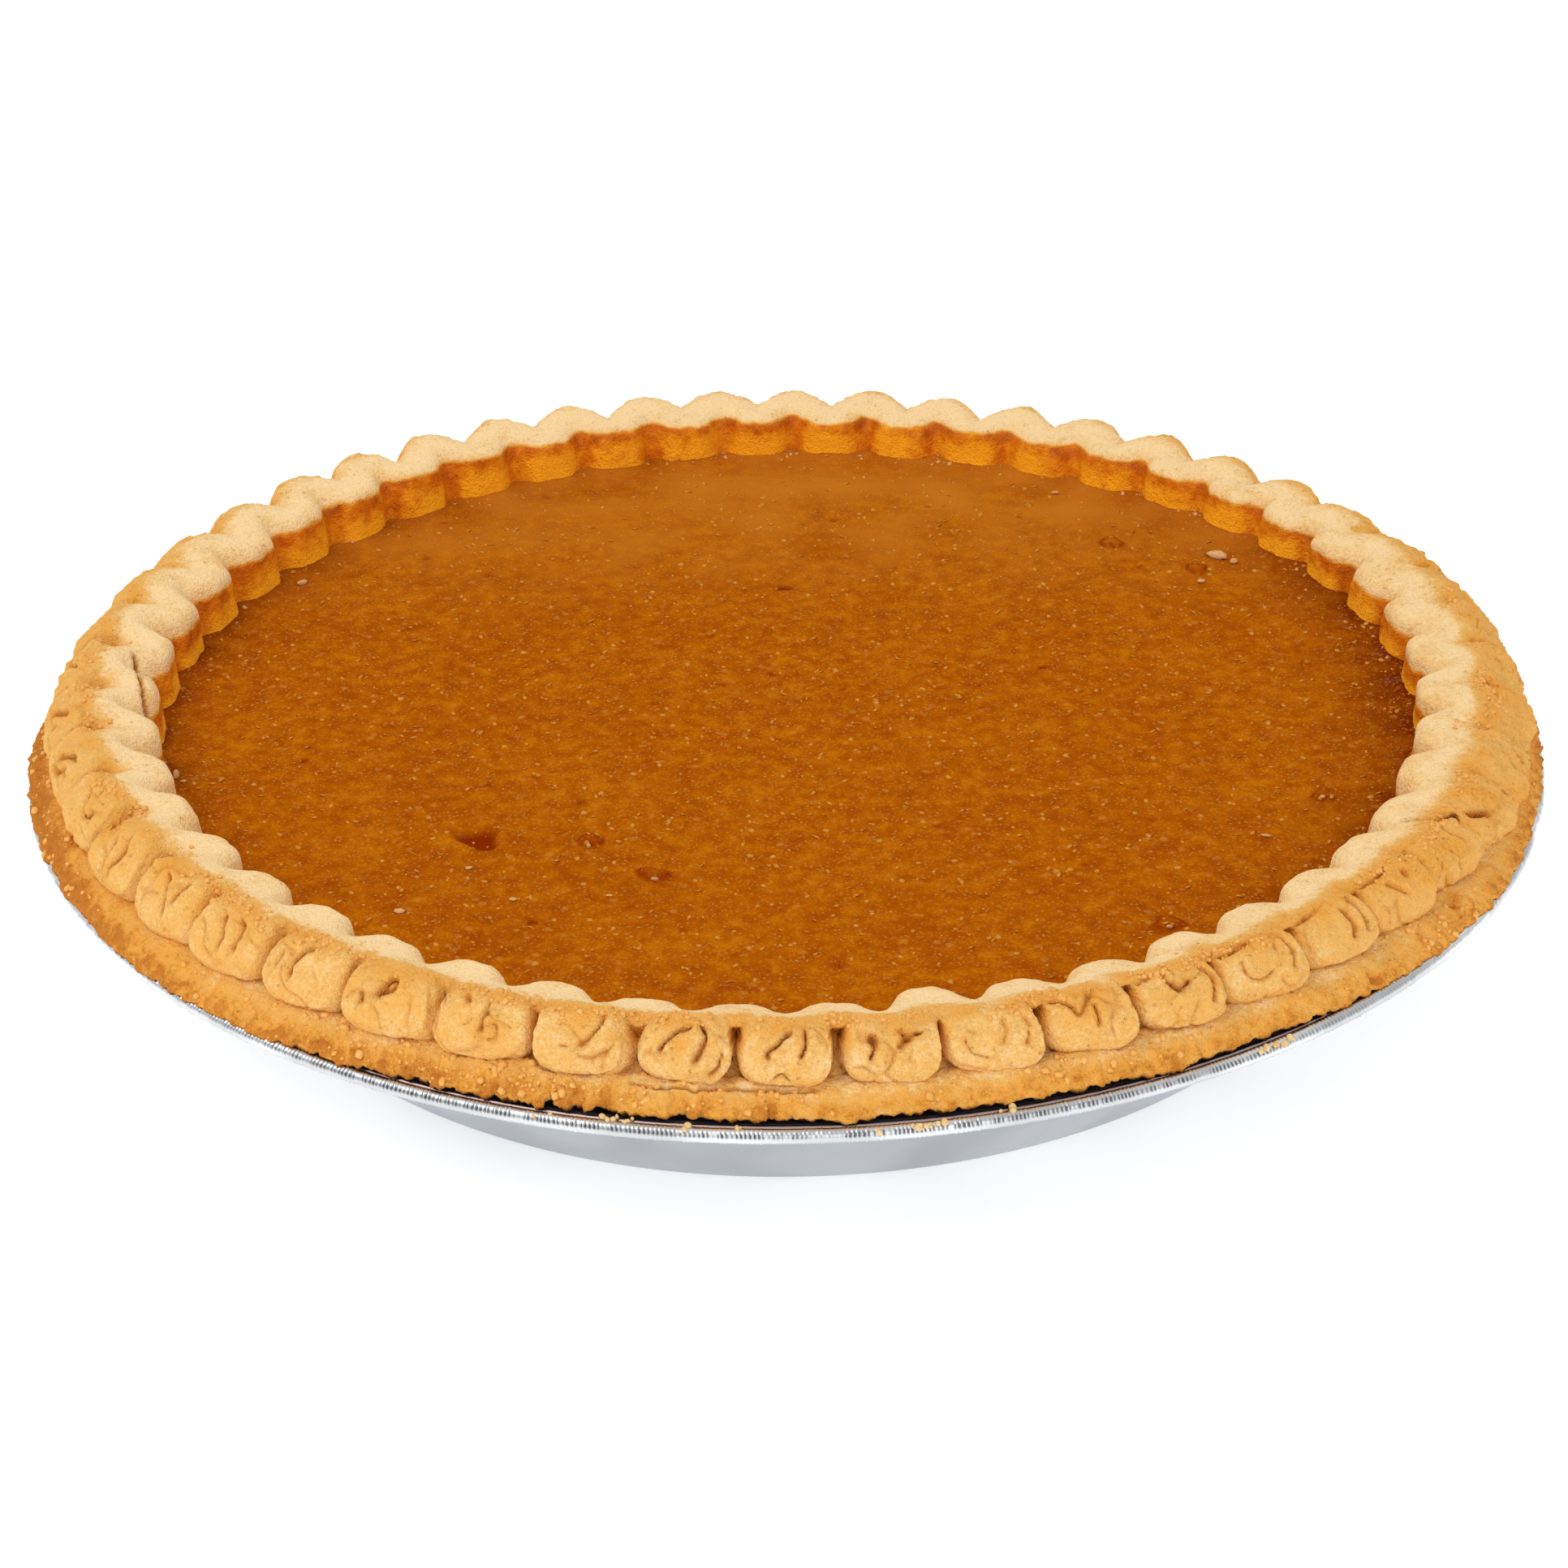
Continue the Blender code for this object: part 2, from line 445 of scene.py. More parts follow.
class Surface(NodeKit):
    """A material under construction, whose patterns sit still on the object."""

    def __init__(self, name: str, **uniform: Feed) -> None:
        """Make the material.

        Args:
            name: The material's name.
            uniform: Values of shader sockets that are the same all over, with _ for a space.
        """
        self.material = bpy.data.materials.new(name)
        self.material.use_nodes = True
        super().__init__(self.material.node_tree)
        self.shader = self.tree.nodes["Principled BSDF"]
        for key, value in uniform.items():
            self.set(key.replace("_", " ").title().replace("Ior", "IOR"), value)
        self.place = self.node("ShaderNodeTexCoord", output="Object")

    def set(self, name: str, value: Feed) -> None:
        """Set or link one of the shader's sockets."""
        self.feed(self.shader.inputs[name], value)

    def mark(self, mark: Mark) -> Value:
        """Read one of the mesh's marks."""
        return self.node("ShaderNodeAttribute", {"attribute_name": mark.value}, output="Fac")

    def noise(self, size: float, detail: float = 2.0, stretch: Optional[Colour] = None) -> Value:
        """A noise pattern around 0, from about -0.5 to 0.5.

        Args:
            size: How wide its lumps are.
            detail: How many finer layers it has.
            stretch: How much the pattern is squeezed along X, Y and Z.

        Returns:
            The pattern.
        """
        place = self.place
        if stretch:
            place = self.node("ShaderNodeMapping", None, {"Vector": place, "Scale": stretch})
        sockets = {"Vector": place, "Scale": 1 / size, "Detail": detail}
        return self.node("ShaderNodeTexNoise", None, sockets, "Fac") - 0.5

    def cells(self, size: float, feature: str = "F1", randomness: float = 1.0) -> Value:
        """Distance to scattered points about a size apart, in parts of that size."""
        sockets = {"Vector": self.place, "Scale": 1 / size, "Randomness": randomness}
        return self.node("ShaderNodeTexVoronoi", {"feature": feature}, sockets, "Distance")

    def mix(self, share: Feed, first: Feed, second: Feed) -> Value:
        """Mix two colours."""
        sockets = {"Factor_Float": share, "A_Color": first, "B_Color": second}
        settings = {"data_type": "RGBA", "clamp_factor": True}
        return self.node("ShaderNodeMix", settings, sockets, "Result_Color")

    def ramp(self, share: Value, stops: Sequence[tuple[float, Colour]]) -> Value:
        """Colours along a value."""
        return self.node("ShaderNodeValToRGB", {"stops": stops}, {"Fac": share}, "Color")

    def relief(self, height: Value, depth: float) -> None:
        """Let a pattern from 0 to 1 stand up by a depth."""
        sockets = {"Height": height, "Distance": depth, "Strength": 1.0}
        self.set("Normal", self.node("ShaderNodeBump", None, sockets, "Normal"))


class Growth(NodeKit):
    """A Geometry Nodes tree with named inputs, which makes one mesh out of another."""

    def __init__(self, name: str) -> None:
        """Start the tree.

        Args:
            name: The tree's name.
        """
        super().__init__(bpy.data.node_groups.new(name, "GeometryNodeTree"))
        face = self.tree.interface
        face.new_socket("Geometry", in_out="INPUT", socket_type="NodeSocketGeometry")
        face.new_socket("Geometry", in_out="OUTPUT", socket_type="NodeSocketGeometry")
        self.entry = self.tree.nodes.new("NodeGroupInput")
        self.given: dict[str, tuple[str, Any]] = {}
        self.start = self.input_value("Geometry")

    def input_value(self, name: str) -> Value:
        """One of the tree's inputs as a value."""
        return Value(self, self.find(self.entry.outputs, name))

    def size(self, name: str, value: Any) -> Value:
        """Add a named input.

        Args:
            name: The input's name.
            value: What the piece sets it to: a whole number, a length or a material.

        Returns:
            The input.
        """
        kinds = {int: "NodeSocketInt", float: "NodeSocketFloat", bpy.types.Material: "NodeSocketMaterial"}
        made = self.tree.interface.new_socket(name, in_out="INPUT", socket_type=kinds[type(value)])
        self.given[name] = (made.identifier, value)
        return self.input_value(name)

    def random(self, low: Feed, high: Feed, seed: int, kind: str = "FLOAT") -> Value:
        """A random value or vector for each element."""
        suffix = {"FLOAT": ("Min_001", "Max_001", "Value_001"), "FLOAT_VECTOR": ("Min", "Max", "Value")}
        least, most, output = suffix[kind]
        sockets = {least: low, most: high, "Seed": seed}
        return self.node("FunctionNodeRandomValue", {"data_type": kind}, sockets, output)

    def vector(self, x: Feed, y: Feed, z: Feed) -> Value:
        """A vector from three numbers."""
        return self.node("ShaderNodeCombineXYZ", None, {"X": x, "Y": y, "Z": z})

    def vector_math(self, operation: str, *terms: Feed, output: str = "Vector") -> Value:
        """A Vector Math node."""
        return self.node("ShaderNodeVectorMath", {"operation": operation}, dict(enumerate(terms)), output)

    def grow(self, geometry: Value, material: bpy.types.Material, host: bpy.types.Mesh) -> bpy.types.Mesh:
        """Finish the tree and run it on a mesh.

        Args:
            geometry: What the tree has made.
            material: The finish of all of it.
            host: The mesh that it grows from.

        Returns:
            The plain mesh that results.
        """
        finish = self.size("Finish", material)
        real = self.node("GeometryNodeRealizeInstances", None, {0: geometry})
        dressed = self.node("GeometryNodeSetMaterial", None, {"Geometry": real, "Material": finish})
        leave = self.tree.nodes.new("NodeGroupOutput")
        self.feed(leave.inputs[0], dressed)
        holder = bpy.data.objects.new(self.tree.name + "_host", host)
        bpy.context.scene.collection.objects.link(holder)
        modifier = holder.modifiers.new("Growth", "NODES")
        modifier.node_group = self.tree
        for identifier, value in self.given.values():
            modifier[identifier] = value
        graph = bpy.context.evaluated_depsgraph_get()
        grown = bpy.data.meshes.new_from_object(holder.evaluated_get(graph))
        holder.modifiers.remove(modifier)
        bpy.data.objects.remove(holder, do_unlink=True)
        grown.name = self.tree.name
        return grown


# ---------------------------------------------------------------------------------------------
# Finishes


@dataclass(frozen=True)
class Pastry:
    """Baked shortcrust: pale where it was sheltered, golden on faces and browned on ridges."""

    cream: Colour = (0.96, 0.675, 0.340)
    gold: Colour = (0.82, 0.445, 0.115)
    toast: Colour = (0.82, 0.365, 0.058)
    brown: Colour = (0.56, 0.190, 0.022)
    # The painted shade of the deepest creases
    dark: Colour = (0.24, 0.055, 0.006)
    damp: Colour = (0.86, 0.440, 0.070)
    amber: Colour = (1.00, 0.400, 0.010)
    syrup: Colour = (0.70, 0.165, 0.002)
    # The darkest soaked wall: painted shade under the crest and in the notches, over darkened syrup
    burnt_and_shaded: Colour = (0.26, 0.036, 0.001)
    # The skirt's charred underside, which is painted as deep shadow too
    soot_and_shadow: Colour = (0.022, 0.005, 0.006)
    lump: float = 4 * MM
    grain: float = 0.7 * MM
    pore: float = 1.6 * MM

    def material(self) -> bpy.types.Material:
        """Build the finish.

        Returns:
            The material, which reads the toast (with painted shade under the ridge's lip), stain, wall shade and
            soak, crease shade and char-and-shadow marks.
        """
        dough = Surface("baked_pastry", specular_ior_level=0.12)
        lumps = dough.noise(self.lump, 3.0)
        grain = dough.noise(self.grain, 3.0)
        pores = dough.cells(self.pore).ease(0.18, 0.08) * (lumps * 2.0 + 0.3).clamp()
        sand = dough.noise(self.grain * 0.5, 2.0)
        baked = dough.mark(Mark.TOAST) + lumps * 0.45 + grain * 0.42 + sand * 0.25
        stops = ((0.08, self.cream), (0.38, self.gold), (0.70, self.toast), (1.0, self.brown))
        colour = dough.ramp(baked, stops)
        stain = dough.mark(Mark.STAIN)
        # How dark the soaked wall is: painted shade under the crest, in the notches and at the foot, on the syrup's
        # own tone
        wall_shade_and_soak = dough.mark(Mark.EDGE) + lumps * 0.7 + dough.noise(2 * MM, 2.0) * 0.5
        stops = ((0.08, self.amber), (0.52, self.syrup), (1.0, self.burnt_and_shaded))
        colour = dough.mix((stain * 2.5).clamp(), colour, self.damp)
        colour = dough.mix((stain * 1.8 - 0.5 + grain * 0.3).clamp(), colour, dough.ramp(wall_shade_and_soak, stops))
        # Painted shade in the pores
        colour = dough.mix(pores * 0.18, colour, self.brown)
        # Painted shade: creases, hollows, slots and cracks turn brown, the deepest ones dark
        crease = dough.mark(Mark.CREASE)
        colour = dough.mix(crease.ease(0.10, 0.90) * 0.70, colour, self.brown)
        colour = dough.mix(crease.ease(0.85, 1.5) * 0.8, colour, self.dark)
        # Painted shadow and char: the skirt's underside goes soot black
        colour = dough.mix(dough.mark(Mark.CHAR), colour, self.soot_and_shadow)
        dough.set("Base Color", colour)
        dough.set("Roughness", 0.82 - stain * 0.30)
        dough.set("Coat Weight", stain * 0.10)
        dough.relief(grain * 0.7 + sand * 0.4 + lumps * 0.2 + 0.5 - pores * 0.8, 0.55 * MM)
        return dough.material


@dataclass(frozen=True)
class Custard:
    """Set pumpkin custard: mottled orange-brown with a soft gloss."""

    yellow: Colour = (0.50, 0.150, 0.002)
    orange: Colour = (0.41, 0.094, 0.001)
    deep: Colour = (0.31, 0.056, 0.001)
    # The colour of painted shade in pits and round blisters, and of the real stain spots
    rust: Colour = (0.24, 0.024, 0.0005)
    shade: Colour = (0.16, 0.020, 0.0005)
    fleck: Colour = (0.60, 0.26, 0.040)
    # A painted sheen that lightens the far side
    far_side_sheen: Colour = (0.52, 0.165, 0.012)
    patch: float = 14 * MM
    mottle: float = 3.0 * MM
    grain: float = 0.55 * MM

    def material(self) -> bpy.types.Material:
        """Build the finish.

        Returns:
            The material, which reads the wall shade, crease shade and stain, far-side sheen and shine marks.
        """
        set_custard = Surface("set_custard", specular_ior_level=0.0, coat_roughness=0.18)
        patches = set_custard.noise(self.patch, 2.0)
        mottle = set_custard.noise(self.mottle, 4.0)
        grain = set_custard.noise(self.grain, 2.0)
        depth = patches * 0.5 + mottle * 1.5 + grain * 1.4 + 0.50
        edge = set_custard.mark(Mark.EDGE)
        stops = ((0.1, self.yellow), (0.42, self.orange), (0.85, self.deep))
        colour = set_custard.ramp(depth, stops)
        # Painted shade near the crust's wall and towards the sides
        colour = set_custard.mix(edge * 0.7, colour, self.shade)
        small = set_custard.cells(0.9 * MM).ease(0.38, 0.12) * (mottle * 3.0 + 0.6).clamp()
        large = set_custard.cells(3.4 * MM).ease(0.26, 0.10) * (patches * 2.0 + 0.5).clamp()
        flecks = (small * 0.8 + large * 0.6).clamp()
        colour = set_custard.mix(flecks * 0.75, colour, self.fleck)
        colour = set_custard.mix(grain.ease(0.06, 0.28) * 0.45, colour, self.fleck)
        # Painted sheen: the far side turns lighter
        colour = set_custard.mix(set_custard.mark(Mark.TOAST), colour, self.far_side_sheen)
        # Painted shade in pits and blister rings, and the real stain spots, go rust
        colour = set_custard.mix(set_custard.mark(Mark.CREASE), colour, self.rust)
        set_custard.set("Base Color", colour)
        set_custard.set("Roughness", mottle * 0.25 + 0.5)
        set_custard.set("Coat Weight", set_custard.mark(Mark.STAIN))
        set_custard.relief(mottle * 0.5 + grain * 0.4 + flecks * 0.3 + 0.5, 0.40 * MM)
        return set_custard.material


@dataclass(frozen=True)
class Foil:
    """Pressed aluminium foil, with burnt juice and painted shadow where the mark says so, a painted reflection of
    the crust, painted shade in the crimp grooves, and darker zones painted for the panels' reflections.
    """

    # The body's metal is darkened to stand for the dim reflection on the tin's side
    metal: Colour = (0.48, 0.50, 0.525)
    shaded_metal: Colour = (0.40, 0.42, 0.445)
    groove_shade: Colour = (0.07, 0.07, 0.08)
    soot_and_shadow: Colour = (0.020, 0.006, 0.006)
    crust_reflection: Colour = (0.40, 0.29, 0.28)
    roughness: float = 0.34
    wrinkle: float = 9 * MM

    def material(self, name: str) -> bpy.types.Material:
        """Build the finish.

        Args:
            name: The material's name.

        Returns:
            The material, which reads the char-and-shadow, stain (painted crust reflection) and crease-shade marks.
        """
        foil = Surface(name)
        wrinkles = foil.noise(self.wrinkle, 3.0)
        char = foil.mark(Mark.CHAR)
        # Painted reflection: a soft noise darkens parts of the metal, standing for the panels' reflections
        shade = foil.noise(20 * MM, 1.0, (1.0, 1.0, 0.5)).ease(-0.12, 0.12)
        colour = foil.mix(shade, self.metal, self.shaded_metal)
        # Painted reflection of the crust on the flange and the bead's inner side
        colour = foil.mix(foil.mark(Mark.STAIN), colour, self.crust_reflection)
        # Painted shade in the crimp grooves
        colour = foil.mix(foil.mark(Mark.CREASE), colour, self.groove_shade)
        # Burnt juice and painted shadow under the skirt's edge go soot dark
        foil.set("Base Color", foil.mix(char, colour, self.soot_and_shadow))
        foil.set("Metallic", 1.0 - char)
        foil.set("Roughness", wrinkles * 0.1 + char * 0.3 + self.roughness)
        foil.relief(wrinkles + 0.5, 0.10 * MM)
        return foil.material


@dataclass(frozen=True)
class Plain:
    """A speckled finish for small loose things."""

    name: str
    light: Colour
    dark: Colour
    gloss: float = 0.3

    def material(self) -> bpy.types.Material:
        """Build the finish."""
        bits = Surface(self.name, specular_ior_level=self.gloss)
        shade = bits.noise(1.5 * MM, 2.0) * 1.6 + 0.5
        bits.set("Base Color", bits.mix(shade.clamp(), self.light, self.dark))
        bits.set("Roughness", 0.9 - self.gloss * 0.7 + shade * 0.1)
        bits.relief(bits.noise(0.4 * MM, 2.0) + 0.5, 0.1 * MM)
        return bits.material


# ---------------------------------------------------------------------------------------------
# The pastry


@dataclass(frozen=True)
class Crease:
    """A fold or slit pressed into a pad.

    The path runs through points to the right of and below the pad's middle, in millimetres.
    """

    pad: int
    path: tuple[tuple[float, float], ...]
    depth: float = 1.0
    width: float = 0.42


@dataclass(frozen=True)
class Blotch:
    """A browned spot on a pad, placed as a crease is."""

    pad: int
    place: tuple[float, float]
    width: float = 1.6
    toast: float = 0.45
    hollow: float = 0.0


# Folds and browned spots of the pads that face the viewer, pad 0 in the middle
CREASES = (
    Crease(0, ((0.3, -2.6), (-1.1, -0.8), (-2.6, 0.1), (-2.9, 0.9)), 1.1),
    Crease(0, ((3.1, -2.8), (3.1, -1.0), (2.3, 0.9)), 1.1),
    Crease(0, ((-1.8, 4.2), (-0.6, 3.4), (0.4, 4.4)), 0.6, 0.35),
    Crease(-1, ((1.2, -3.1), (-0.6, -2.3), (-2.2, -0.7), (-3.4, 0.9)), 1.0, 0.36),
    Crease(-1, ((2.9, -3.4), (3.7, -1.8), (3.0, 0.0), (2.1, 2.1)), 1.3, 0.46),
    Crease(-1, ((6.2, 0.8), (5.8, 2.6), (4.4, 4.0)), 0.8, 0.40),
    Crease(1, ((-2.9, -1.5), (-2.5, 0.2), (-3.1, 1.7)), 1.3, 0.50),
    Crease(1, ((4.4, -1.8), (2.4, -1.3), (1.2, 0.1)), 1.1, 0.45),
    Crease(1, ((1.6, -2.4), (2.4, -1.3)), 0.9, 0.45),
    Crease(2, ((1.7, -2.6), (1.9, -0.8), (1.2, 1.2)), 0.5, 0.38),
    Crease(2, ((5.2, -2.4), (5.7, -0.6), (4.8, 1.6)), 0.6, 0.35),
    Crease(2, ((-4.4, 0.2), (-3.6, 2.2), (-1.4, 3.2)), 0.5, 0.38),
    Crease(3, ((-6.4, -3.6), (-3.0, -2.6), (-1.6, -0.6), (0.2, -2.6), (1.4, -4.0)), 0.8, 0.45),
    Crease(3, ((1.0, -1.6), (1.2, 0.0), (0.9, 1.4)), 0.8),
    Crease(4, ((-6.4, -3.2), (-3.5, -4.3), (-0.8, -5.0)), 0.8),
    Crease(4, ((-2.0, -3.3), (-1.2, -1.6), (-0.3, -0.6)), 1.0, 0.40),
    Crease(4, ((1.5, -1.5), (-0.3, -0.6)), 1.2, 0.65),
    Crease(4, ((3.6, -4.4), (5.0, -2.6), (5.3, -0.4), (4.4, 2.0)), 0.8, 0.36),
    Crease(5, ((-6.4, -3.0), (-2.0, -3.9), (2.6, -6.0)), 1.1, 0.45),
    Crease(5, ((-3.6, -1.2), (-3.4, 1.0), (-1.4, 2.2), (0.6, 1.4)), 0.5, 0.40),
    Crease(5, ((4.8, -3.6), (5.5, -1.0), (4.6, 1.8)), 0.6, 0.36),
    Crease(6, ((-6.0, -3.2), (-2.0, -4.0), (2.0, -5.6)), 0.9, 0.45),
    Crease(6, ((2.6, -2.4), (3.1, 0.2), (2.2, 2.0)), 0.9),
    Crease(6, ((5.0, -3.2), (5.6, -0.8), (4.8, 1.6)), 0.6, 0.36),
    Crease(7, ((-6.0, -3.4), (-2.6, -3.4), (1.0, -4.6)), 0.8, 0.45),
    Crease(7, ((-1.4, -1.6), (0.8, 0.6)), 0.7),
    Crease(-2, ((3.0, -4.2), (3.2, -2.6), (2.6, -1.2), (0.4, 1.2)), 0.8),
    Crease(-2, ((-2.4, 1.4), (-1.6, 1.2)), 0.5),
    Crease(-2, ((0.4, 2.6), (2.4, 3.0), (4.2, 1.6)), 0.6),
    Crease(-3, ((0.6, -1.0), (0.1, 1.4)), 0.8),
    Crease(-3, ((1.0, 0.6), (2.6, 0.2), (2.6, 2.2), (1.0, 2.4), (0.8, 1.0)), 0.5, 0.36),
    Crease(-3, ((-3.2, -3.6), (-2.6, -2.8)), 1.0, 0.50),
    Crease(-4, ((-1.3, 0.0), (-0.4, -2.4), (0.6, -2.8), (0.9, -1.8), (-0.5, -0.4)), 0.9, 0.36),
    Crease(-4, ((-3.9, 0.6), (-3.7, 1.1)), 1.0, 0.45),
    Crease(-5, ((0.6, -2.9), (-0.6, -2.4), (-1.6, -0.6), (-1.9, 1.4)), 1.1, 0.42),
    Crease(-5, ((-2.2, -4.3), (-2.0, -3.9)), 0.8, 0.45),
    Crease(-5, ((-4.6, -1.4), (-4.9, 0.9)), 0.5, 0.40),
    Crease(-6, ((-2.2, -1.6), (-0.6, 0.4), (-1.0, 2.0)), 0.9),
    Crease(-6, ((1.0, -2.4), (2.4, -0.6), (1.8, 1.6)), 0.8),
    Crease(-7, ((-2.0, -2.4), (-0.4, -0.2), (0.2, 2.2)), 0.9),
    Crease(-7, ((2.8, -2.6), (2.0, 0.2)), 0.8),
    Crease(-8, ((-2.4, -2.0), (-1.2, 0.8), (-1.8, 2.6)), 1.1, 0.50),
    Crease(-8, ((0.8, -2.6), (1.4, 0.2), (0.4, 2.6)), 1.1, 0.50),
    Crease(-9, ((-1.8, -1.2), (0.6, 0.8), (2.6, 0.2)), 1.0),
    Crease(-10, ((-2.6, 0.8), (0.2, -0.8), (2.6, -1.4)), 1.0),
    Crease(-10, ((-2.0, 2.6), (1.0, 1.2), (2.8, 0.8)), 0.8),
    Crease(-11, ((-2.4, 0.8), (0.6, -0.6), (2.4, -1.6)), 1.0),
    Crease(-12, ((-2.4, 0.4), (0.6, -1.4), (2.2, -2.0)), 0.9),
)
BLOTCHES = (
    Blotch(0, (-1.8, -3.6), 1.5, 0.35),
    Blotch(-1, (-0.4, -0.2), 1.2, 0.45),
    Blotch(-1, (-2.4, -3.4), 1.2, 0.40),
    Blotch(-2, (-0.6, -2.8), 2.2, 0.35),
    Blotch(-3, (1.6, 0.6), 1.5, 0.30),
    Blotch(-4, (0.2, -3.8), 2.4, 0.40),
    Blotch(1, (1.2, -3.2), 2.0, 0.35),
    Blotch(3, (-0.4, -3.4), 2.6, 0.50),
    Blotch(5, (0.6, -4.2), 2.8, 0.45),
    Blotch(6, (-1.6, -4.0), 2.6, 0.50),
    Blotch(7, (1.4, -1.0), 2.2, 0.40),
    Blotch(7, (-1.6, -4.0), 2.6, 0.50),
    Blotch(-8, (-6.0, -2.4), 2.4, 0.70, 1.2),
    Blotch(-6, (2.6, -4.0), 2.2, 0.45),
    Blotch(-7, (-2.6, -4.0), 2.6, 0.45),
)


@dataclass(frozen=True)
class Scorch:
    """A browned place or crack anywhere on the crust.

    It runs from start to end, each given as (degrees from -Y towards +X, radius, height).
    """

    start: tuple[float, float, float]
    end: Optional[tuple[float, float, float]]
    width: float
    toast: float
    depth: float = 0.0


SCORCHES = (
    Scorch((-85.5, 126.4, 33.0), (-83.0, 126.0, 32.5), 1.8, 0.35, 0.3),
    Scorch((-77.0, 127.2, 32.0), (-75.0, 126.4, 32.0), 1.6, 0.45, 0.4),
    Scorch((-67.2, 122.7, 32.5), None, 1.8, 0.60, 0.6),
    Scorch((-70.4, 119.4, 36.4), (-69.0, 117.2, 37.5), 1.5, 0.80, 1.8),
    Scorch((-66.5, 118.5, 38.8), (-63.5, 116.8, 40.0), 1.8, 0.50, 0.2),
    Scorch((-90.5, 111.2, 41.8), (-81.8, 107.8, 41.5), 0.42, 0.20, 1.3),
    Scorch((59.8, 112.5, 42.0), (60.8, 116.6, 42.2), 0.60, 0.40, 1.8),
    Scorch((60.8, 116.6, 42.2), (62.8, 118.3, 42.0), 0.60, 0.40, 1.8),
    Scorch((64.0, 120.0, 42.0), (65.8, 122.0, 41.0), 0.60, 0.60, 1.5),
    Scorch((66.0, 118.4, 42.2), (67.0, 121.0, 41.8), 1.8, 0.60, -0.5),
    Scorch((54.5, 120.0, 41.2), (59.4, 121.6, 40.2), 2.8, 0.55, -0.4),
    Scorch((79.0, 117.5, 42.0), (84.2, 116.0, 42.0), 1.8, 0.35, 0.0),
    Scorch((53.0, 119.3, 41.0), None, 0.8, 0.90, 0.9),
    Scorch((56.3, 123.9, 33.4), (57.2, 123.3, 33.4), 1.2, 0.80, 0.9),
    Scorch((51.5, 124.7, 33.2), None, 1.1, 0.75, 0.8),
    Scorch((45.2, 125.2, 33.0), None, 1.0, 0.70, 0.7),
    Scorch((123.0, 116.0, 42.3), None, 1.1, 0.60, 0.4),
    Scorch((116.7, 114.9, 42.4), None, 1.2, 0.55, 0.4),
    Scorch((-112.4, 117.3, 42.2), None, 1.2, 0.50, 0.4),
)


@dataclass(frozen=True)
class Fluting:
    """How the pads follow each other round the pie, and how its round shape is bent.

    The drift gives, in degrees, how far the pads have slid round: all of them, with the sine and
    the cosine of their angle, and with the sine of twice their angle.
    """

    rim: float
    pads: int = 48
    drift: tuple[float, float, float, float] = (0.1, -0.95, 0.25, -0.6)
    oval: float = 1.0
    oval_turn: float = 10.0
    flare_left: float = 1.5
    flare_right: float = 1.0
    front: float = 1.0

    def angle(self, phase: np.ndarray) -> np.ndarray:
        """The angle from -Y towards +X of a place that is counted in pads."""
        turn = phase / self.pads * 2 * math.pi
        waves = (np.ones_like(turn), np.sin(turn), np.cos(turn), np.sin(2 * turn))
        return turn + sum(math.radians(part) * wave for part, wave in zip(self.drift, waves))

    def swell(self, angle: np.ndarray) -> np.ndarray:
        """How much further out the crust runs than a round one would, in millimetres."""
        return self.oval * np.cos(2 * (angle - math.pi / 2 - math.radians(self.oval_turn)))

    def flare(self, angle: np.ndarray) -> np.ndarray:
        """How much further out the flange and the pastry on it run, in millimetres."""
        turn = (angle + math.pi) % (2 * math.pi) - math.pi
        left = self.flare_left * bump(turn + math.radians(72), math.radians(32))
        return left + self.flare_right * bump(turn - math.radians(60), math.radians(24))

    def thinning(self, angle: np.ndarray) -> np.ndarray:
        """How much narrower the crest is towards the viewer, in millimetres."""
        return self.front * np.cos(angle / 2) ** 12


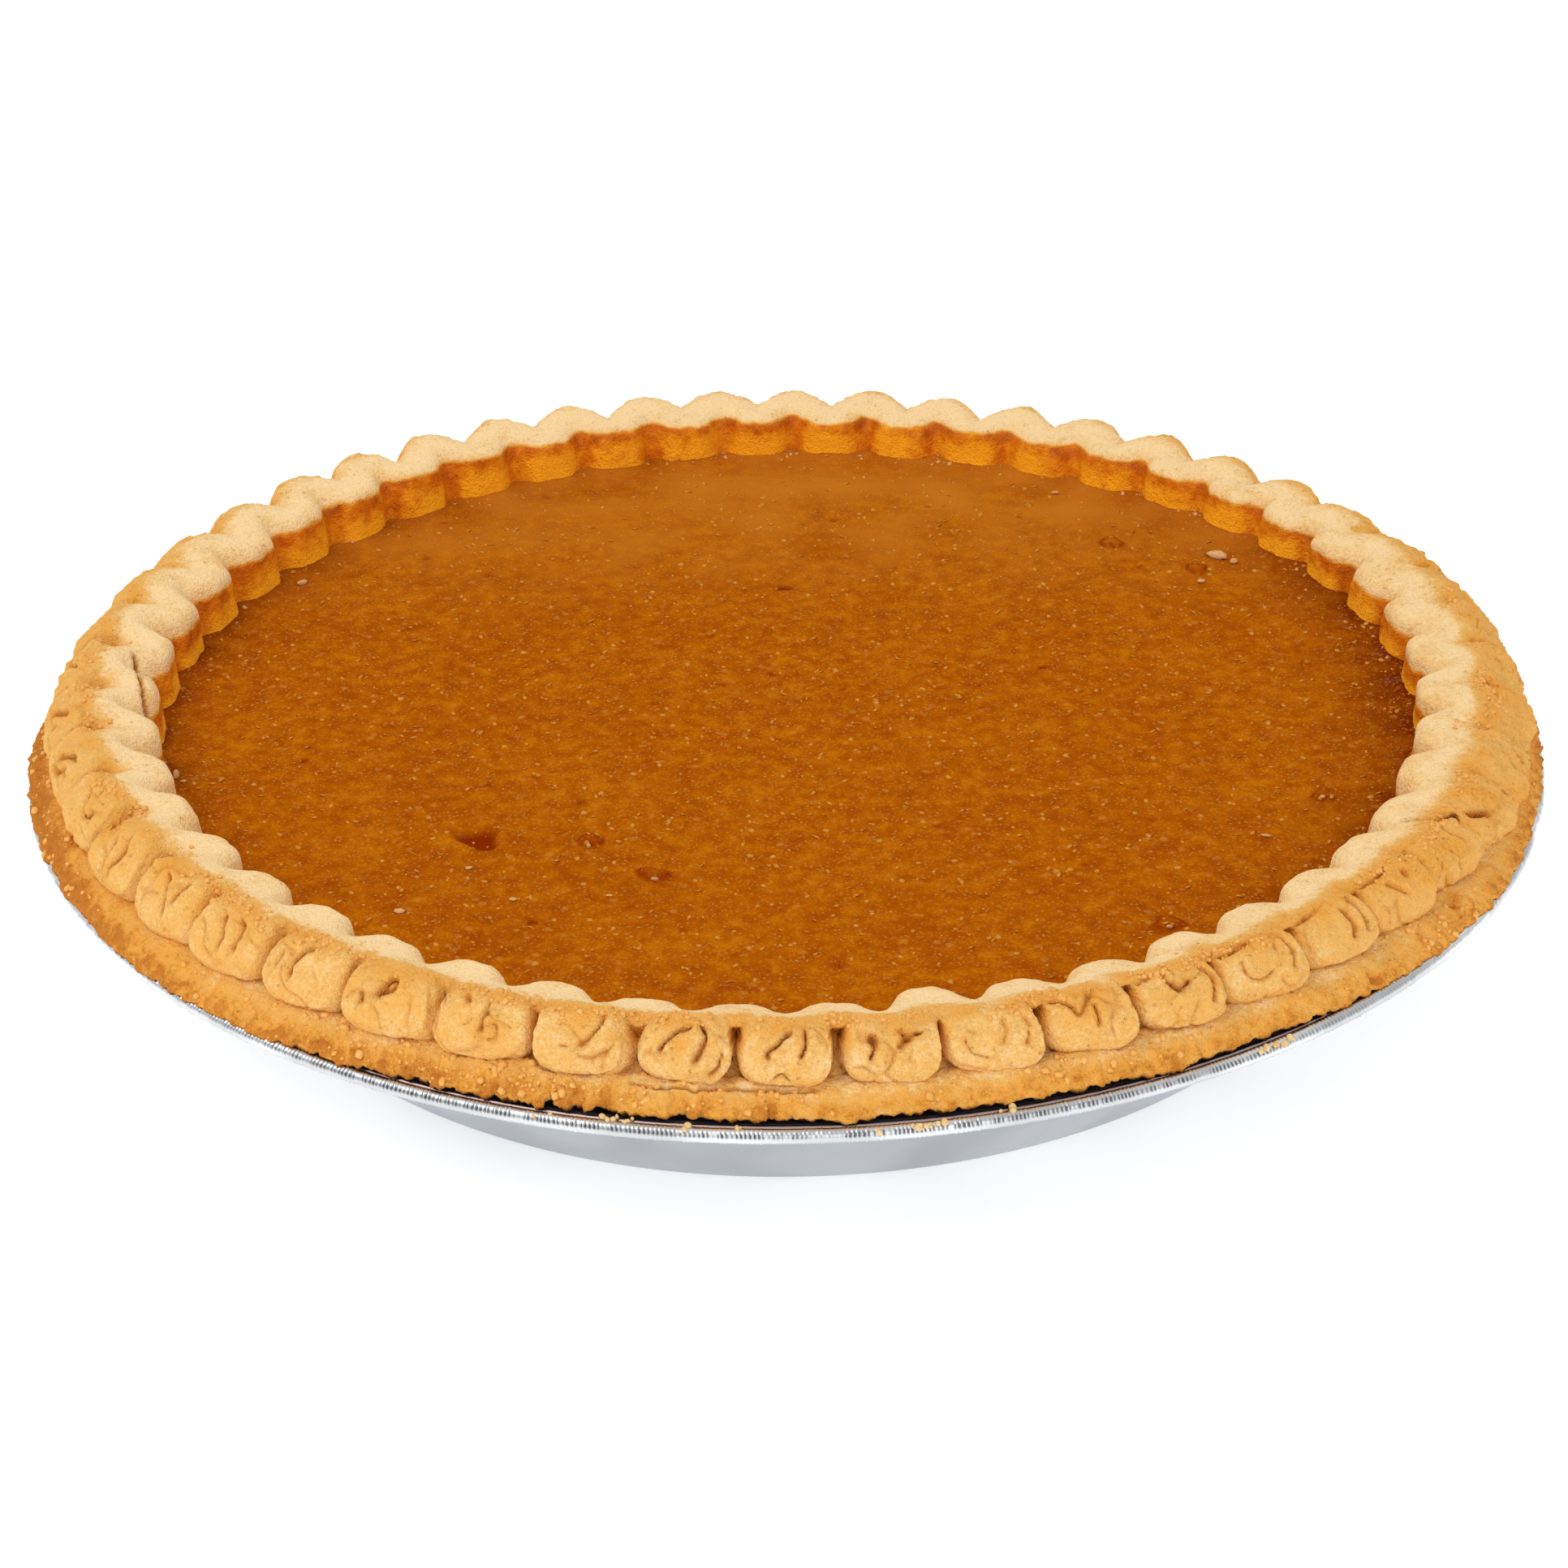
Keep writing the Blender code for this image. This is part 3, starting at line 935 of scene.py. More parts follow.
@dataclass
class Crust:
    """The pastry rim: fluted inner wall, crest, ring of thumb pads, and skirt on the flange.

    Outlines are (inward from the tin's rim, height above the table) in millimetres, key by key
    from the wall's foot inside, over the crest, down the outer slope and under the skirt.
    """

    fluting: Fluting
    material: bpy.types.Material
    fine_pads: int = 13
    fine_columns: int = 44
    coarse_columns: int = 28
    wall_step: float = 0.45
    row_step: float = 0.30
    seam_key: float = 8.7
    lipped: tuple[tuple[float, float], ...] = (
        (22.6, 31.0), (22.2, 34.0), (21.9, 37.2), (21.5, 39.6), (19.9, 41.0), (17.2, 41.6),
        (14.6, 41.9), (12.0, 42.1), (10.3, 41.5), (11.2, 40.4), (12.1, 39.0), (11.8, 37.4),
        (10.4, 35.5), (8.6, 33.9), (6.9, 32.4), (7.5, 31.4), (9.5, 30.6),
    )
    notched: tuple[tuple[float, float], ...] = (
        (22.6, 31.0), (22.2, 34.0), (21.9, 37.2), (21.5, 39.6), (19.9, 40.8), (17.4, 40.7),
        (15.2, 40.1), (13.2, 39.4), (11.9, 38.7), (11.3, 37.8), (10.9, 36.9), (10.5, 35.9),
        (9.8, 34.8), (8.4, 33.6), (6.9, 32.4), (7.5, 31.4), (9.5, 30.6),
    )
    padded: tuple[tuple[float, float], ...] = (
        (19.6, 31.0), (19.3, 34.0), (18.9, 37.2), (17.9, 39.6), (16.2, 41.1), (14.4, 41.9),
        (12.7, 42.3), (10.9, 42.4), (9.1, 41.9), (7.7, 40.9), (6.6, 39.7), (5.7, 38.2),
        (5.1, 36.4), (5.0, 34.6), (5.8, 33.0), (7.2, 31.8), (9.5, 30.8),
    )
    middle_key: int = 10
    pad_half_width: float = 7.6
    pad_half_height: float = 7.0
    pad_squareness: float = 2.7
    pad_round: float = 0.74
    pad_crisp: float = 0.17
    overlap: float = 0.9
    skirt: tuple[tuple[float, float], ...] = (
        (10.5, 31.8), (8.0, 33.8), (5.7, 34.0), (4.0, 33.0), (2.5, 31.8), (1.8, 30.6),
        (2.8, 29.8), (6.5, 29.6), (9.5, 29.5),
    )
    skirt_step: float = 0.36
    tilt: float = 1.0
    saddle: float = 0.5
    lift_low: float = 32.6
    lift_high: float = 39.2
    seed: int = 11

    def __post_init__(self) -> None:
        """Work out the columns, and how each pad and each groove differs from the rest."""
        self.pads, self.rim = self.fluting.pads, self.fluting.rim
        steps = []
        for pad in range(self.pads):
            near = min(pad, self.pads - pad) <= self.fine_pads
            count = self.fine_columns if near else self.coarse_columns
            steps.append(pad + np.arange(count) / count)
        phase = np.concatenate(steps)
        self.columns = len(phase)
        self.angle = self.fluting.angle(phase)
        self.swell = self.fluting.swell(self.angle)
        self.back = 0.5 - 0.5 * np.cos(self.angle)
        self.turn = (self.angle + math.pi) % (2 * math.pi) - math.pi
        degrees = np.degrees(self.turn)
        self.merged = ease(degrees, 58, 68) * ease(degrees, 128, 108)
        self.merged += 0.55 * ease(degrees, -74, -84) * ease(degrees, -124, -106)
        self.pitch = 2 * math.pi * self.rim / self.pads / MM * 0.95
        self.pad = np.round(phase).astype(int)
        self.offset = phase - self.pad
        self.groove = np.floor(phase).astype(int)
        self.pad %= self.pads
        dice = np.random.default_rng(self.seed)
        self.pad_size = 1.03 + 0.04 * dice.uniform(-1, 1, self.pads)
        self.pad_shift = 0.35 * dice.uniform(-1, 1, self.pads)
        self.pad_lean = 0.10 * dice.uniform(-1, 1, self.pads)
        signed = (np.arange(self.pads) + self.pads // 2) % self.pads - self.pads // 2
        self.hand = np.where(signed < -1, -0.6, 1.0) * np.clip(np.abs(signed) / 3, 0.25, 1)
        self.pad_proud = 0.35 * dice.uniform(-1, 1, self.pads)
        self.pad_seam = np.where(dice.random(self.pads) < 0.7, dice.uniform(0.4, 1, self.pads), 0)
        self.seam_side = dice.choice((-1.0, 1.0, 1.0), self.pads)
        self.lip = dice.uniform(0.0, 0.45, self.pads)
        self.lip[0:8] = dice.uniform(0.85, 1.0, 8)
        self.lip[-1] = 1.0
        self.lip[-7:-1] = dice.uniform(0.25, 0.6, 6)
        self.lip[8:17] = dice.uniform(0.6, 0.9, 9)
        self.reach = dice.uniform(-0.5, 0.7, self.pads)
        self.puff = dice.uniform(-0.35, 0.35, self.pads)
        self.reach[[-3, -2, -1, 0, 1]] = (-0.3, -1.2, -0.9, -0.6, 1.0)
        self.puff[1] += 0.5
        self.noise = Noise(self.seed)
        self.rough = Noise(self.seed + 1)
        self.dice = dice

    # Where the skirt runs further out: at how many degrees, how wide in degrees, how far in mm
    SPREAD = (
        (-45.0, 13.0, 1.0), (-68.0, 8.0, 0.2), (-80.0, 7.0, 0.5), (-86.0, 2.5, 0.5), (-98.0, 9.0, 0.4),
        (4.3, 1.6, 1.0), (27.0, 3.5, 0.5), (58.0, 14.0, 1.0), (105.0, 14.0, -0.3),
        (-20.0, 2.0, 0.4), (-30.0, 2.5, 0.3),
    )

    # The shared shape -----------------------------------------------------------------------

    def wander(self, inward: np.ndarray, height: np.ndarray) -> np.ndarray:
        """Bend a round, level shape as the hand-made crust is bent.

        Args:
            inward: Distance in from the rim, in millimetres, by row and column.
            height: Height above the table, in millimetres, by row and column.

        Returns:
            The points, in metres.
        """
        turn = self.angle - math.pi / 2
        lift = self.saddle * np.cos(2 * turn) - self.tilt * np.cos(turn)
        share = np.maximum(0, height - self.lift_low) / (self.lift_high - self.lift_low)
        radius = self.rim - (inward - self.swell) * MM
        return ring_points(radius, (height + lift * share) * MM, self.angle)

    def keys(self, outline: Sequence[tuple[float, float]], step: float, first: float) -> np.ndarray:
        """Places along an outline, about one step apart.

        Args:
            outline: The outline's key points.
            step: How far apart the places are, in millimetres.
            first: The same, between the first five key points.

        Returns:
            The places.
        """
        places = [0.0]
        for key, (start, end) in enumerate(zip(outline[:-1], outline[1:])):
            count = max(1, round(math.dist(start, end) / (first if key < 5 else step)))
            places += [key + (part + 1) / count for part in range(count)]
        return np.array(places)

    def cushion(self, down: np.ndarray) -> tuple[np.ndarray, np.ndarray]:
        """How far each point stands out from the groove's outline to the pad's.

        Args:
            down: How far below the pads' middle each row is, in millimetres.

        Returns:
            The share from 0 to 1, and how far out from the pad's middle the point is, where 1 is
            the pad's edge.
        """
        across = self.offset * self.pitch - self.pad_shift[self.pad]
        across = across[None, :] + self.pad_lean[self.pad] * down[:, None]
        narrow = np.interp(down, (-5.5, -3.0, 0.5, 4.0), (0.78, 0.92, 1.02, 1.06))[:, None]
        half = self.pad_half_width * self.pad_size[self.pad] * narrow
        power = self.pad_squareness
        below = np.maximum(0, down)[:, None] / (self.pad_half_height * self.pad_size[self.pad])
        out = (np.abs(across / half) ** power + below**power) ** (1 / power)
        proud_side = np.sign(self.hand[self.pad]) * across / half
        flat = self.pad_round + self.pad_crisp * ease(proud_side, -0.4, 0.6)
        fall = np.clip((out - flat) / (1 - flat), 0, 1)
        humped = (ease(self.back, 0.45, 0.9) * ease(down[:, None], 6, 2))
        hump = np.abs(np.cos(math.pi * self.offset))[None, :] ** 1.3
        return np.sqrt(1 - fall**2) * (1 - humped) + hump * humped, out

    def features(
        self, across: np.ndarray, down: np.ndarray, rough: np.ndarray
    ) -> tuple[np.ndarray, np.ndarray, np.ndarray]:
        """Press the folds into the pads and brown their spots.

        Args:
            across: Distance to the right of the pad's middle, in millimetres, by column.
            down: Distance below the pads' middle, in millimetres, by row.
            rough: Random values that make the folds uneven, by row and column.

        Returns:
            How far each point is pressed in, how much painted shade its fold lines get and how browned it is.
        """
        shape = (len(down), self.columns)
        press, crease, toast = np.zeros(shape), np.zeros(shape), np.zeros(shape)
        for fold in CREASES:
            columns = np.flatnonzero(self.pad == fold.pad % self.pads)
            places = np.linspace(0, len(fold.path) - 1, 4 * len(fold.path))
            near = path_offset(across[None, columns], down[:, None], smooth_line(fold.path, places))
            uneven = rough[:, columns]
            near = near + 0.35 * uneven
            width = fold.width * np.clip(0.9 + 1.1 * uneven, 0.45, 1.6)
            cut = bump(near, width)
            lap = bump(near + 2.4 * fold.width, 1.9 * fold.width)
            far = bump(near - 2.4 * fold.width, 1.4 * fold.width)
            press[:, columns] += fold.depth * (1.1 * cut - 0.75 * lap - 0.20 * far)
            crease[:, columns] = np.maximum(crease[:, columns], 0.75 * min(1, fold.depth) * cut)
        for spot in BLOTCHES:
            columns = np.flatnonzero(self.pad == spot.pad % self.pads)
            du = across[None, columns] - spot.place[0]
            dv = down[:, None] - spot.place[1]
            cover = bump(np.hypot(du, dv), spot.width)
            toast[:, columns] += spot.toast * cover
            press[:, columns] += spot.hollow * cover
        return press, crease, toast

    def slope(self) -> tuple[np.ndarray, np.ndarray, dict[Mark, np.ndarray]]:
        """The visible sheet from the wall's foot to under the pads.

        Returns:
            The keys of its rows, its points and its marks.
        """
        places = self.keys(self.padded, self.row_step, self.wall_step)
        pad_line = smooth_line(self.padded, places)
        lipped, notched = smooth_line(self.lipped, places), smooth_line(self.notched, places)
        lip = self.lip[self.groove][None, :, None]
        groove_line = lipped[:, None] * lip + notched[:, None] * (1 - lip)
        steps = np.linalg.norm(np.diff(pad_line, axis=0), axis=1)
        down = np.concatenate([[0], np.cumsum(steps)])
        down -= np.interp(self.middle_key, places, down)

        power = np.interp(places, (2, 3, 4, 5, 6, 8), (6.0, 5.0, 3.0, 1.6, 1.0, 0.8))[:, None]
        wave = np.abs(np.cos(math.pi * self.offset))[None, :] ** power
        cushion, out = self.cushion(down)
        on_pad = ease(places, 6.6, 8.2)[:, None]
        filled = self.merged * ease(places, 7.5, 10.0)[:, None]
        cushion += 0.85 * filled * (1 - cushion)
        share = (wave * (1 - on_pad) + cushion * on_pad)[..., None]
        line = groove_line * (1 - share) + pad_line[:, None] * share
        inward, height = line[..., 0], line[..., 1]

        thin = self.fluting.thinning(self.angle) * ease(places, 7.0, 4.5)[:, None]
        inward -= thin
        height -= 0.6 * thin * ease(places, 1.5, 3.5)[:, None]
        inward -= 1.5 * self.merged * ease(places, 9.0, 12.5)[:, None]
        inward -= 0.9 * self.fluting.flare(self.angle) * ease(places, 8.5, 12.0)[:, None]
        left = bump(self.turn + math.radians(82), math.radians(20))
        inward -= 1.2 * left * wave * bump(places - 3.4, 1.2)[:, None]
        lobe = bump(places - 3.6, 1.4)[:, None] * (1 - wave)
        inward += self.reach[self.groove] * lobe
        height += self.puff[self.groove] * lobe * (places > 2)[:, None]
        side = (1 - self.back) * self.hand[self.pad] * np.sin(self.offset * 2.6)
        proud = self.pad_proud[self.pad] + self.overlap * side
        inward -= proud * cushion * on_pad
        points = self.wander(inward, height)
        normals = sheet_normals(points)

        across = self.offset * self.pitch
        rough = self.rough.at(points, 2.4 * MM)
        press, crease, toast = self.features(across, down, rough)
        over_pad = on_pad * ease(out, 1.0, 0.9)
        press, crease, toast = press * over_pad, crease * over_pad, toast * over_pad
        seam = self.pad_seam[self.pad] * over_pad
        seam = seam * ease(across * self.seam_side[self.pad] * 0.7 + down[:, None], -2.0, 2.5)
        rim_fold = bump(out - 1.0, 0.05) * on_pad
        wrinkle = bump(self.rough.at(points, 5.2 * MM), 0.10) * over_pad * ease(out, 0.95, 0.75)
        wrinkle *= ease(self.noise.at(points + 1, 7 * MM), -0.05, 0.30)
        ridge = bump(places - 7.2, 0.9)[:, None]
        crest = bump(places - 5.0, 1.4)[:, None]
        wall = ease(places, 3.4, 2.4)[:, None]
        lumps = self.noise.layers(points, 8 * MM)
        knobs = self.noise.layers(points, 2.6 * MM)
        grit = self.rough.layers(points, 1.0 * MM, 2)
        relief = 0.28 * lumps + (0.22 - 0.12 * crest + 0.22 * ridge - 0.12 * wall) * knobs
        relief += (0.07 + 0.09 * on_pad + 0.22 * ridge - 0.04 * crest) * grit
        relief -= press + 0.25 * rim_fold + 0.38 * wrinkle
        relief -= seam * (0.45 * ease(out, 0.80, 0.86) + 0.22 * bump(out - 0.84, 0.03))
        relief += self.merged * ease(places, 7, 9)[:, None] * (0.9 * lumps + 0.7 * knobs + 0.15 * grit)
        sunk, scorch = self.scorches(points)
        relief += 0.6 * scorch * grit - sunk
        points = points + normals * relief[..., None] * MM

        pits = ease(self.rough.at(points, 1.7 * MM), 0.42, 0.62) * (0.25 + ridge)
        hollow = self.hollow(points, sheet_normals(points))
        # under: the slot below the ridge's lip, which gets painted shade in the toast and crease marks
        under = bump(places - 9.4, 1.0)[:, None] * lip[..., 0] * (1 - cushion)
        over = bump(places - 7.9, 0.6)[:, None] * lip[..., 0] * (1 - cushion)
        patches = np.clip(0.42 + 1.1 * self.noise.layers(points, 4.5 * MM) + 0.5 * knobs + 0.5 * grit, 0, 1.5)
        band = bump(places[:, None] - 7.3 - 0.5 * lumps, 0.8)
        browned = (0.56 - 0.44 * self.back) * band * patches
        browned += toast + scorch * (0.7 + 0.9 * knobs + 0.9 * grit) + 0.15 * over
        browned += 0.45 * ridge * (1 - on_pad) * (1 - self.back) * (0.4 + patches)
        browned += 0.16 * self.merged * on_pad * ease(self.noise.at(points, 6 * MM), 0.0, 0.4)
        baked = 0.18 - 0.04 * self.back + (0.18 + 0.12 * np.sin(self.angle) ** 2) * on_pad
        baked = baked + 0.10 * lumps - 0.10 * crest + self.weathering(places)
        # The crease mark is painted shade in hollows, folds, wrinkles, seams, pores, slots and cracks; the toast
        # mark adds painted shade under the ridge's lip
        marks = {
            Mark.TOAST: 0.86 * np.tanh((baked + 0.55 * np.tanh(browned / 0.55)) / 0.86) + 1.1 * under,
            Mark.CREASE: np.clip(
                0.40 * ease(hollow, 0.05, 0.5) * on_pad + crease + 0.50 * wrinkle
                + 0.50 * seam * bump(out - 0.845, 0.03) + 0.15 * pits + 0.75 * under
                + 1.1 * ease(sunk, 0.55, 1.1), 0, 1.2
            ),
            Mark.STAIN: self.stain(places, wave, knobs),
            Mark.EDGE: self.wall_shade_and_soak(places, wave, lumps),
            Mark.CHAR: np.zeros(points.shape[:2]),
            Mark.DENSITY: bump(places - 7.4, 0.8)[:, None] * ease(self.noise.at(points, 9 * MM), -0.3, 0.3)
            * ease(self.back, 0.7, 0.4),
        }
        return places, points, marks

    def weathering(self, places: np.ndarray) -> np.ndarray:
        """Extra browning of the outer slope towards the right and the far right."""
        right = np.clip(np.cos(self.angle - math.radians(100)), 0, 1)[None, :] ** 2
        corner = bump(self.turn - math.radians(48), math.radians(18))
        ridge = bump(places - 7.2, 1.0)[:, None]
        return right * (0.06 + 0.02 * ease(places, 5.5, 8.5)[:, None]) + 0.20 * corner * ridge

    def stain(self, places: np.ndarray, wave: np.ndarray, knobs: np.ndarray) -> np.ndarray:
        """Amber custard soaked into the inner wall, higher towards the far side."""
        top = 1.2 + 2.1 * self.back**1.2 + 0.25 * knobs - 0.1 * wave
        return ease(places[:, None], top + 0.30, top - 0.30)

    def wall_shade_and_soak(self, places: np.ndarray, wave: np.ndarray, lumps: np.ndarray) -> np.ndarray:
        """How dark the soaked wall is: pale amber low on the lobes, brown in the notches, darker under the crest and
        at the foot; this is painted shade over the syrup's own tone.
        """
        top = 1.2 + 2.1 * self.back**1.2
        under_crest = ease(places[:, None], top - 1.7, top - 0.2)
        foot = ease(places[:, None], 0.8, 0.2)
        dark = 0.62 * under_crest + 0.40 * foot + 0.42 * ease(wave, 0.20, 0.90) + 0.40 * lumps
        return 0.68 * np.tanh(dark / 0.68)

    @staticmethod
    def scorches(points: np.ndarray) -> tuple[np.ndarray, np.ndarray]:
        """The broken and browned places that lie anywhere on the crust.

        Args:
            points: The surface, in metres.

        Returns:
            How far each point is sunk, in millimetres, and how browned it is.
        """
        sunk, toast = np.zeros(points.shape[:2]), np.zeros(points.shape[:2])
        for spot in SCORCHES:
            start, end = (
                np.array([radius * math.sin(math.radians(turn)), -radius * math.cos(math.radians(turn)), height])
                for turn, radius, height in (spot.start, spot.end or spot.start)
            )
            step = (end - start)[:2]
            places = points / MM - start
            share = np.clip((places[..., :2] @ step) / max(step @ step, 1e-9), 0, 1)
            away = np.linalg.norm(places[..., :2] - share[..., None] * step, axis=-1)
            cover = ease(away, 1.3 * spot.width, 0.5 * spot.width) * (np.abs(places[..., 2]) < 4)
            sunk += spot.depth * cover
            toast += spot.toast * cover
        return sunk, toast

    @staticmethod
    def hollow(points: np.ndarray, normals: np.ndarray, reach: int = 4) -> np.ndarray:
        """How far each point lies under the surface's average round it, in millimetres."""
        smooth = points
        for axis in (0, 1):
            total = np.zeros_like(points)
            for step in range(-reach, reach + 1):
                if axis:
                    total += np.roll(smooth, step, axis=1)
                else:
                    rows = np.clip(np.arange(len(points)) + step, 0, len(points) - 1)
                    total += smooth[rows]
            smooth = total / (2 * reach + 1)
        return ((smooth - points) * normals).sum(-1) / MM

    def backing(self, first: np.ndarray, last: np.ndarray, depth: float, rows: int = 3) -> np.ndarray:
        """Hidden rows inside the dough that lead from a sheet's last row back to its first.

        Args:
            first: The sheet's first row.
            last: The sheet's last row.
            depth: How far in from the straight way back the middle row lies, towards the axis.
            rows: How many rows.

        Returns:
            The rows.
        """
        shares = np.linspace(0, 1, rows + 2)[1:-1, None, None]
        back = last[None] * (1 - shares) + first[None] * shares
        towards = np.stack([np.sin(self.angle), -np.cos(self.angle), 0 * self.angle], -1)
        return back - towards * depth * np.sin(math.pi * shares)

    # The pieces -----------------------------------------------------------------------------

    def build(self) -> list[bpy.types.Object]:
        """Make the crest, the pads and the skirt.

        Returns:
            The pieces.
        """
        places, points, marks = self.slope()
        seam = int(np.searchsorted(places, self.seam_key))
        crest = slice(0, seam + 1)
        outer = slice(seam, len(places))
        pieces = []
        for name, part, depth in (("crust_crest", crest, 0.0), ("crust_pads", outer, 4 * MM)):
            sheet = points[part]
            hidden = self.backing(sheet[0], sheet[-1], depth)
            kept = {
                mark: np.concatenate([values[part], np.zeros(hidden.shape[:2])])
                for mark, values in marks.items()
            }
            mesh = Sheet(np.concatenate([sheet, hidden]), kept).mesh(name)
            mesh.set_sharp_from_angle(angle=math.radians(75))
            pieces.append(add_piece(name, mesh, self.material))
        pieces.append(self.build_skirt())
        return pieces

    def skirt_reach(self) -> np.ndarray:
        """How much further out than its outline the skirt's lip runs, in millimetres."""
        edge = ring_points(np.full(self.columns, self.rim), 0 * self.angle, self.angle)
        fine = 0.40 - 0.26 * ease(np.abs(self.turn), math.radians(40), math.radians(65))
        reach = 0.50 * self.noise.layers(edge, 9 * MM) + fine * self.rough.layers(edge, 2 * MM)
        reach -= 1.3 * ease(self.rough.at(edge, 2.6 * MM), 0.05, 0.35) * bump(self.turn + 0.17, 0.22)
        reach += self.fluting.flare(self.angle)
        reach += 0.25 * ease(np.abs(self.turn), math.radians(24), math.radians(44))
        for middle, width, length in self.SPREAD:
            reach += length * bump(self.turn - math.radians(middle), math.radians(width))
        return reach

    def rubble(self) -> np.ndarray:
        """How broken the skirt's surface is, from 0 to 1, by column."""
        edge = ring_points(np.full(self.columns, self.rim), 0 * self.angle, self.angle)
        broken = bump(self.turn + math.radians(20), math.radians(13))
        return np.clip(broken + 0.45 * self.noise.at(edge, 22 * MM) + 0.15, 0, 1)

    def build_skirt(self) -> bpy.types.Object:
        """The spare pastry that lies on the tin's flange."""
        places = self.keys(self.skirt, self.skirt_step, self.skirt_step)
        line = smooth_line(self.skirt, places)
        lip = ease(places, 1.0, 3.6) * ease(places, 7.0, 5.5)
        inward = line[:, :1] - lip[:, None] * self.skirt_reach()
        under_pads = np.cos(math.pi * self.offset) ** 2
        inward -= 0.8 * bump(places - 2.4, 0.8)[:, None] * under_pads * (1 - self.back)
        height = line[:, 1:] + 0 * inward
        height -= 0.6 * lip[:, None] * ease(self.skirt_reach(), 0.4, 1.5)
        points = self.wander(inward, height)
        normals = sheet_normals(points)
        rubble = self.rubble()[None, :]
        top = ease(places, 5.2, 4.2)[:, None]
        lumps = self.noise.layers(points, 5 * MM)
        chips = self.rough.layers(points, 1.9 * MM)
        grit = self.noise.layers(points, 0.9 * MM, 2)
        edge = ease(places, 1.8, 4.2)[:, None]
        relief = 0.30 * lumps + (0.28 + 0.30 * edge + 0.60 * rubble) * chips
        relief += (0.20 + 0.20 * edge + 0.30 * rubble) * grit
        crack = bump(places[:, None] - 2.3 - 0.15 * lumps, 0.16)
        crack *= ease(self.rough.at(points, 4 * MM), -0.45, -0.15)
        crack *= (ease(self.turn, -0.21, -0.18) * ease(self.turn, 0.055, 0.035))[None, :]
        relief -= 1.2 * crack
        sunk, scorch = self.scorches(points)
        relief -= sunk
        fade = ease(places, 0.0, 0.6)[:, None] * ease(places, 7.5, 6.0)[:, None]
        points = points + normals * (relief * fade)[..., None] * MM
        hollow = self.hollow(points, normals, 2)
        # The crease mark is painted shade in hollows and cracks; the char-and-shadow mark paints the underside soot
        # black, as charred pastry in deep shadow
        marks = {
            Mark.TOAST: 0.20 + (0.46 + 0.30 * chips) * edge + 0.15 * lumps + 0.15 * chips + 0.16 * rubble
            + 0.10 * grit + 0.16 * np.sin(self.angle) ** 2 + 0.6 * scorch * (0.7 + 0.8 * chips)
            + 0.34 * bump(self.turn + math.radians(78), math.radians(36)),
            Mark.CREASE: np.clip(0.45 * ease(hollow, 0.10, 0.60) * top + 0.8 * crack, 0, 1),
            Mark.CHAR: ease(places, 5.0, 5.6)[:, None] + 0 * lumps,
            Mark.STAIN: 0 * lumps,
            Mark.DENSITY: rubble * ease(places, 1.4, 2.2)[:, None] * ease(places, 4.8, 4.0)[:, None],
        }
        mesh = Sheet(points, marks).mesh("crust_skirt")
        return add_piece("crust_skirt", mesh, self.material)


def build_shell(
    rim: float, level: float, floor: float, material: bpy.types.Material
) -> bpy.types.Object:
    """The pastry that lines the tin under the custard.

    Args:
        rim: The tin's rim radius.
        level: The height at which the liner meets the visible crust.
        floor: The height of its underside.
        material: The pastry finish.

    Returns:
        The piece.
    """
    columns = 192
    angle = np.arange(columns) / columns * 2 * math.pi
    inward = np.array((127, 60, 37.5, 32.5, 21.0, 17.5, 10.6, 10.6, 32.5, 60, 127)) * MM
    height = np.array((4.8, 4.8, 4.8, 6.0, 28.5, 31.6, 31.6, 31.0, 0.6, 0.6, 0.6)) * MM
    inward[7:9] = (10.8 * MM, 33.2 * MM)
    height = np.minimum(height, level - 1.2 * MM) + floor - 0.6 * MM
    points = ring_points((rim - inward)[1:-1, None], height[1:-1, None], angle[None])
    mesh = Sheet(points, looped=False).mesh("crust_shell")
    return add_piece("crust_shell", mesh, material)


# ---------------------------------------------------------------------------------------------
# The custard


class Blemish(Enum):
    """What can mark the custard's surface."""

    PIT = "pit"
    BLISTER = "blister"
    STAIN = "stain"


@dataclass(frozen=True)
class Spot:
    """One blemish of the custard: where it is, how wide it is and how deep or high, in mm."""

    kind: Blemish
    place: tuple[float, float]
    width: float
    depth: float = 0.6
    stretch: float = 1.0


SPOTS = (
    Spot(Blemish.PIT, (-49.4, -45.2), 3.0, 1.4, 1.3),
    Spot(Blemish.PIT, (-1.1, 45.9), 1.1, 0.6, 1.4),
    Spot(Blemish.BLISTER, (-31.5, -46.2), 1.7, 0.6, 1.2),
    Spot(Blemish.BLISTER, (-20.9, -57.5), 1.7, 0.7, 1.5),
    Spot(Blemish.BLISTER, (87.4, -32.6), 1.5, 0.6, 1.2),
    Spot(Blemish.BLISTER, (59.1, -73.1), 2.0, 0.6, 1.2),
    Spot(Blemish.BLISTER, (59.3, 64.4), 1.8, 0.6, 1.3),
    Spot(Blemish.BLISTER, (74.1, 53.0), 1.6, 0.6, 1.2),
    Spot(Blemish.STAIN, (-80.9, -18.8), 0.9, 0.1),
    Spot(Blemish.STAIN, (43.8, 13.3), 0.8, 0.1),
    Spot(Blemish.STAIN, (-39.2, -71.8), 0.9, 0.1),
)


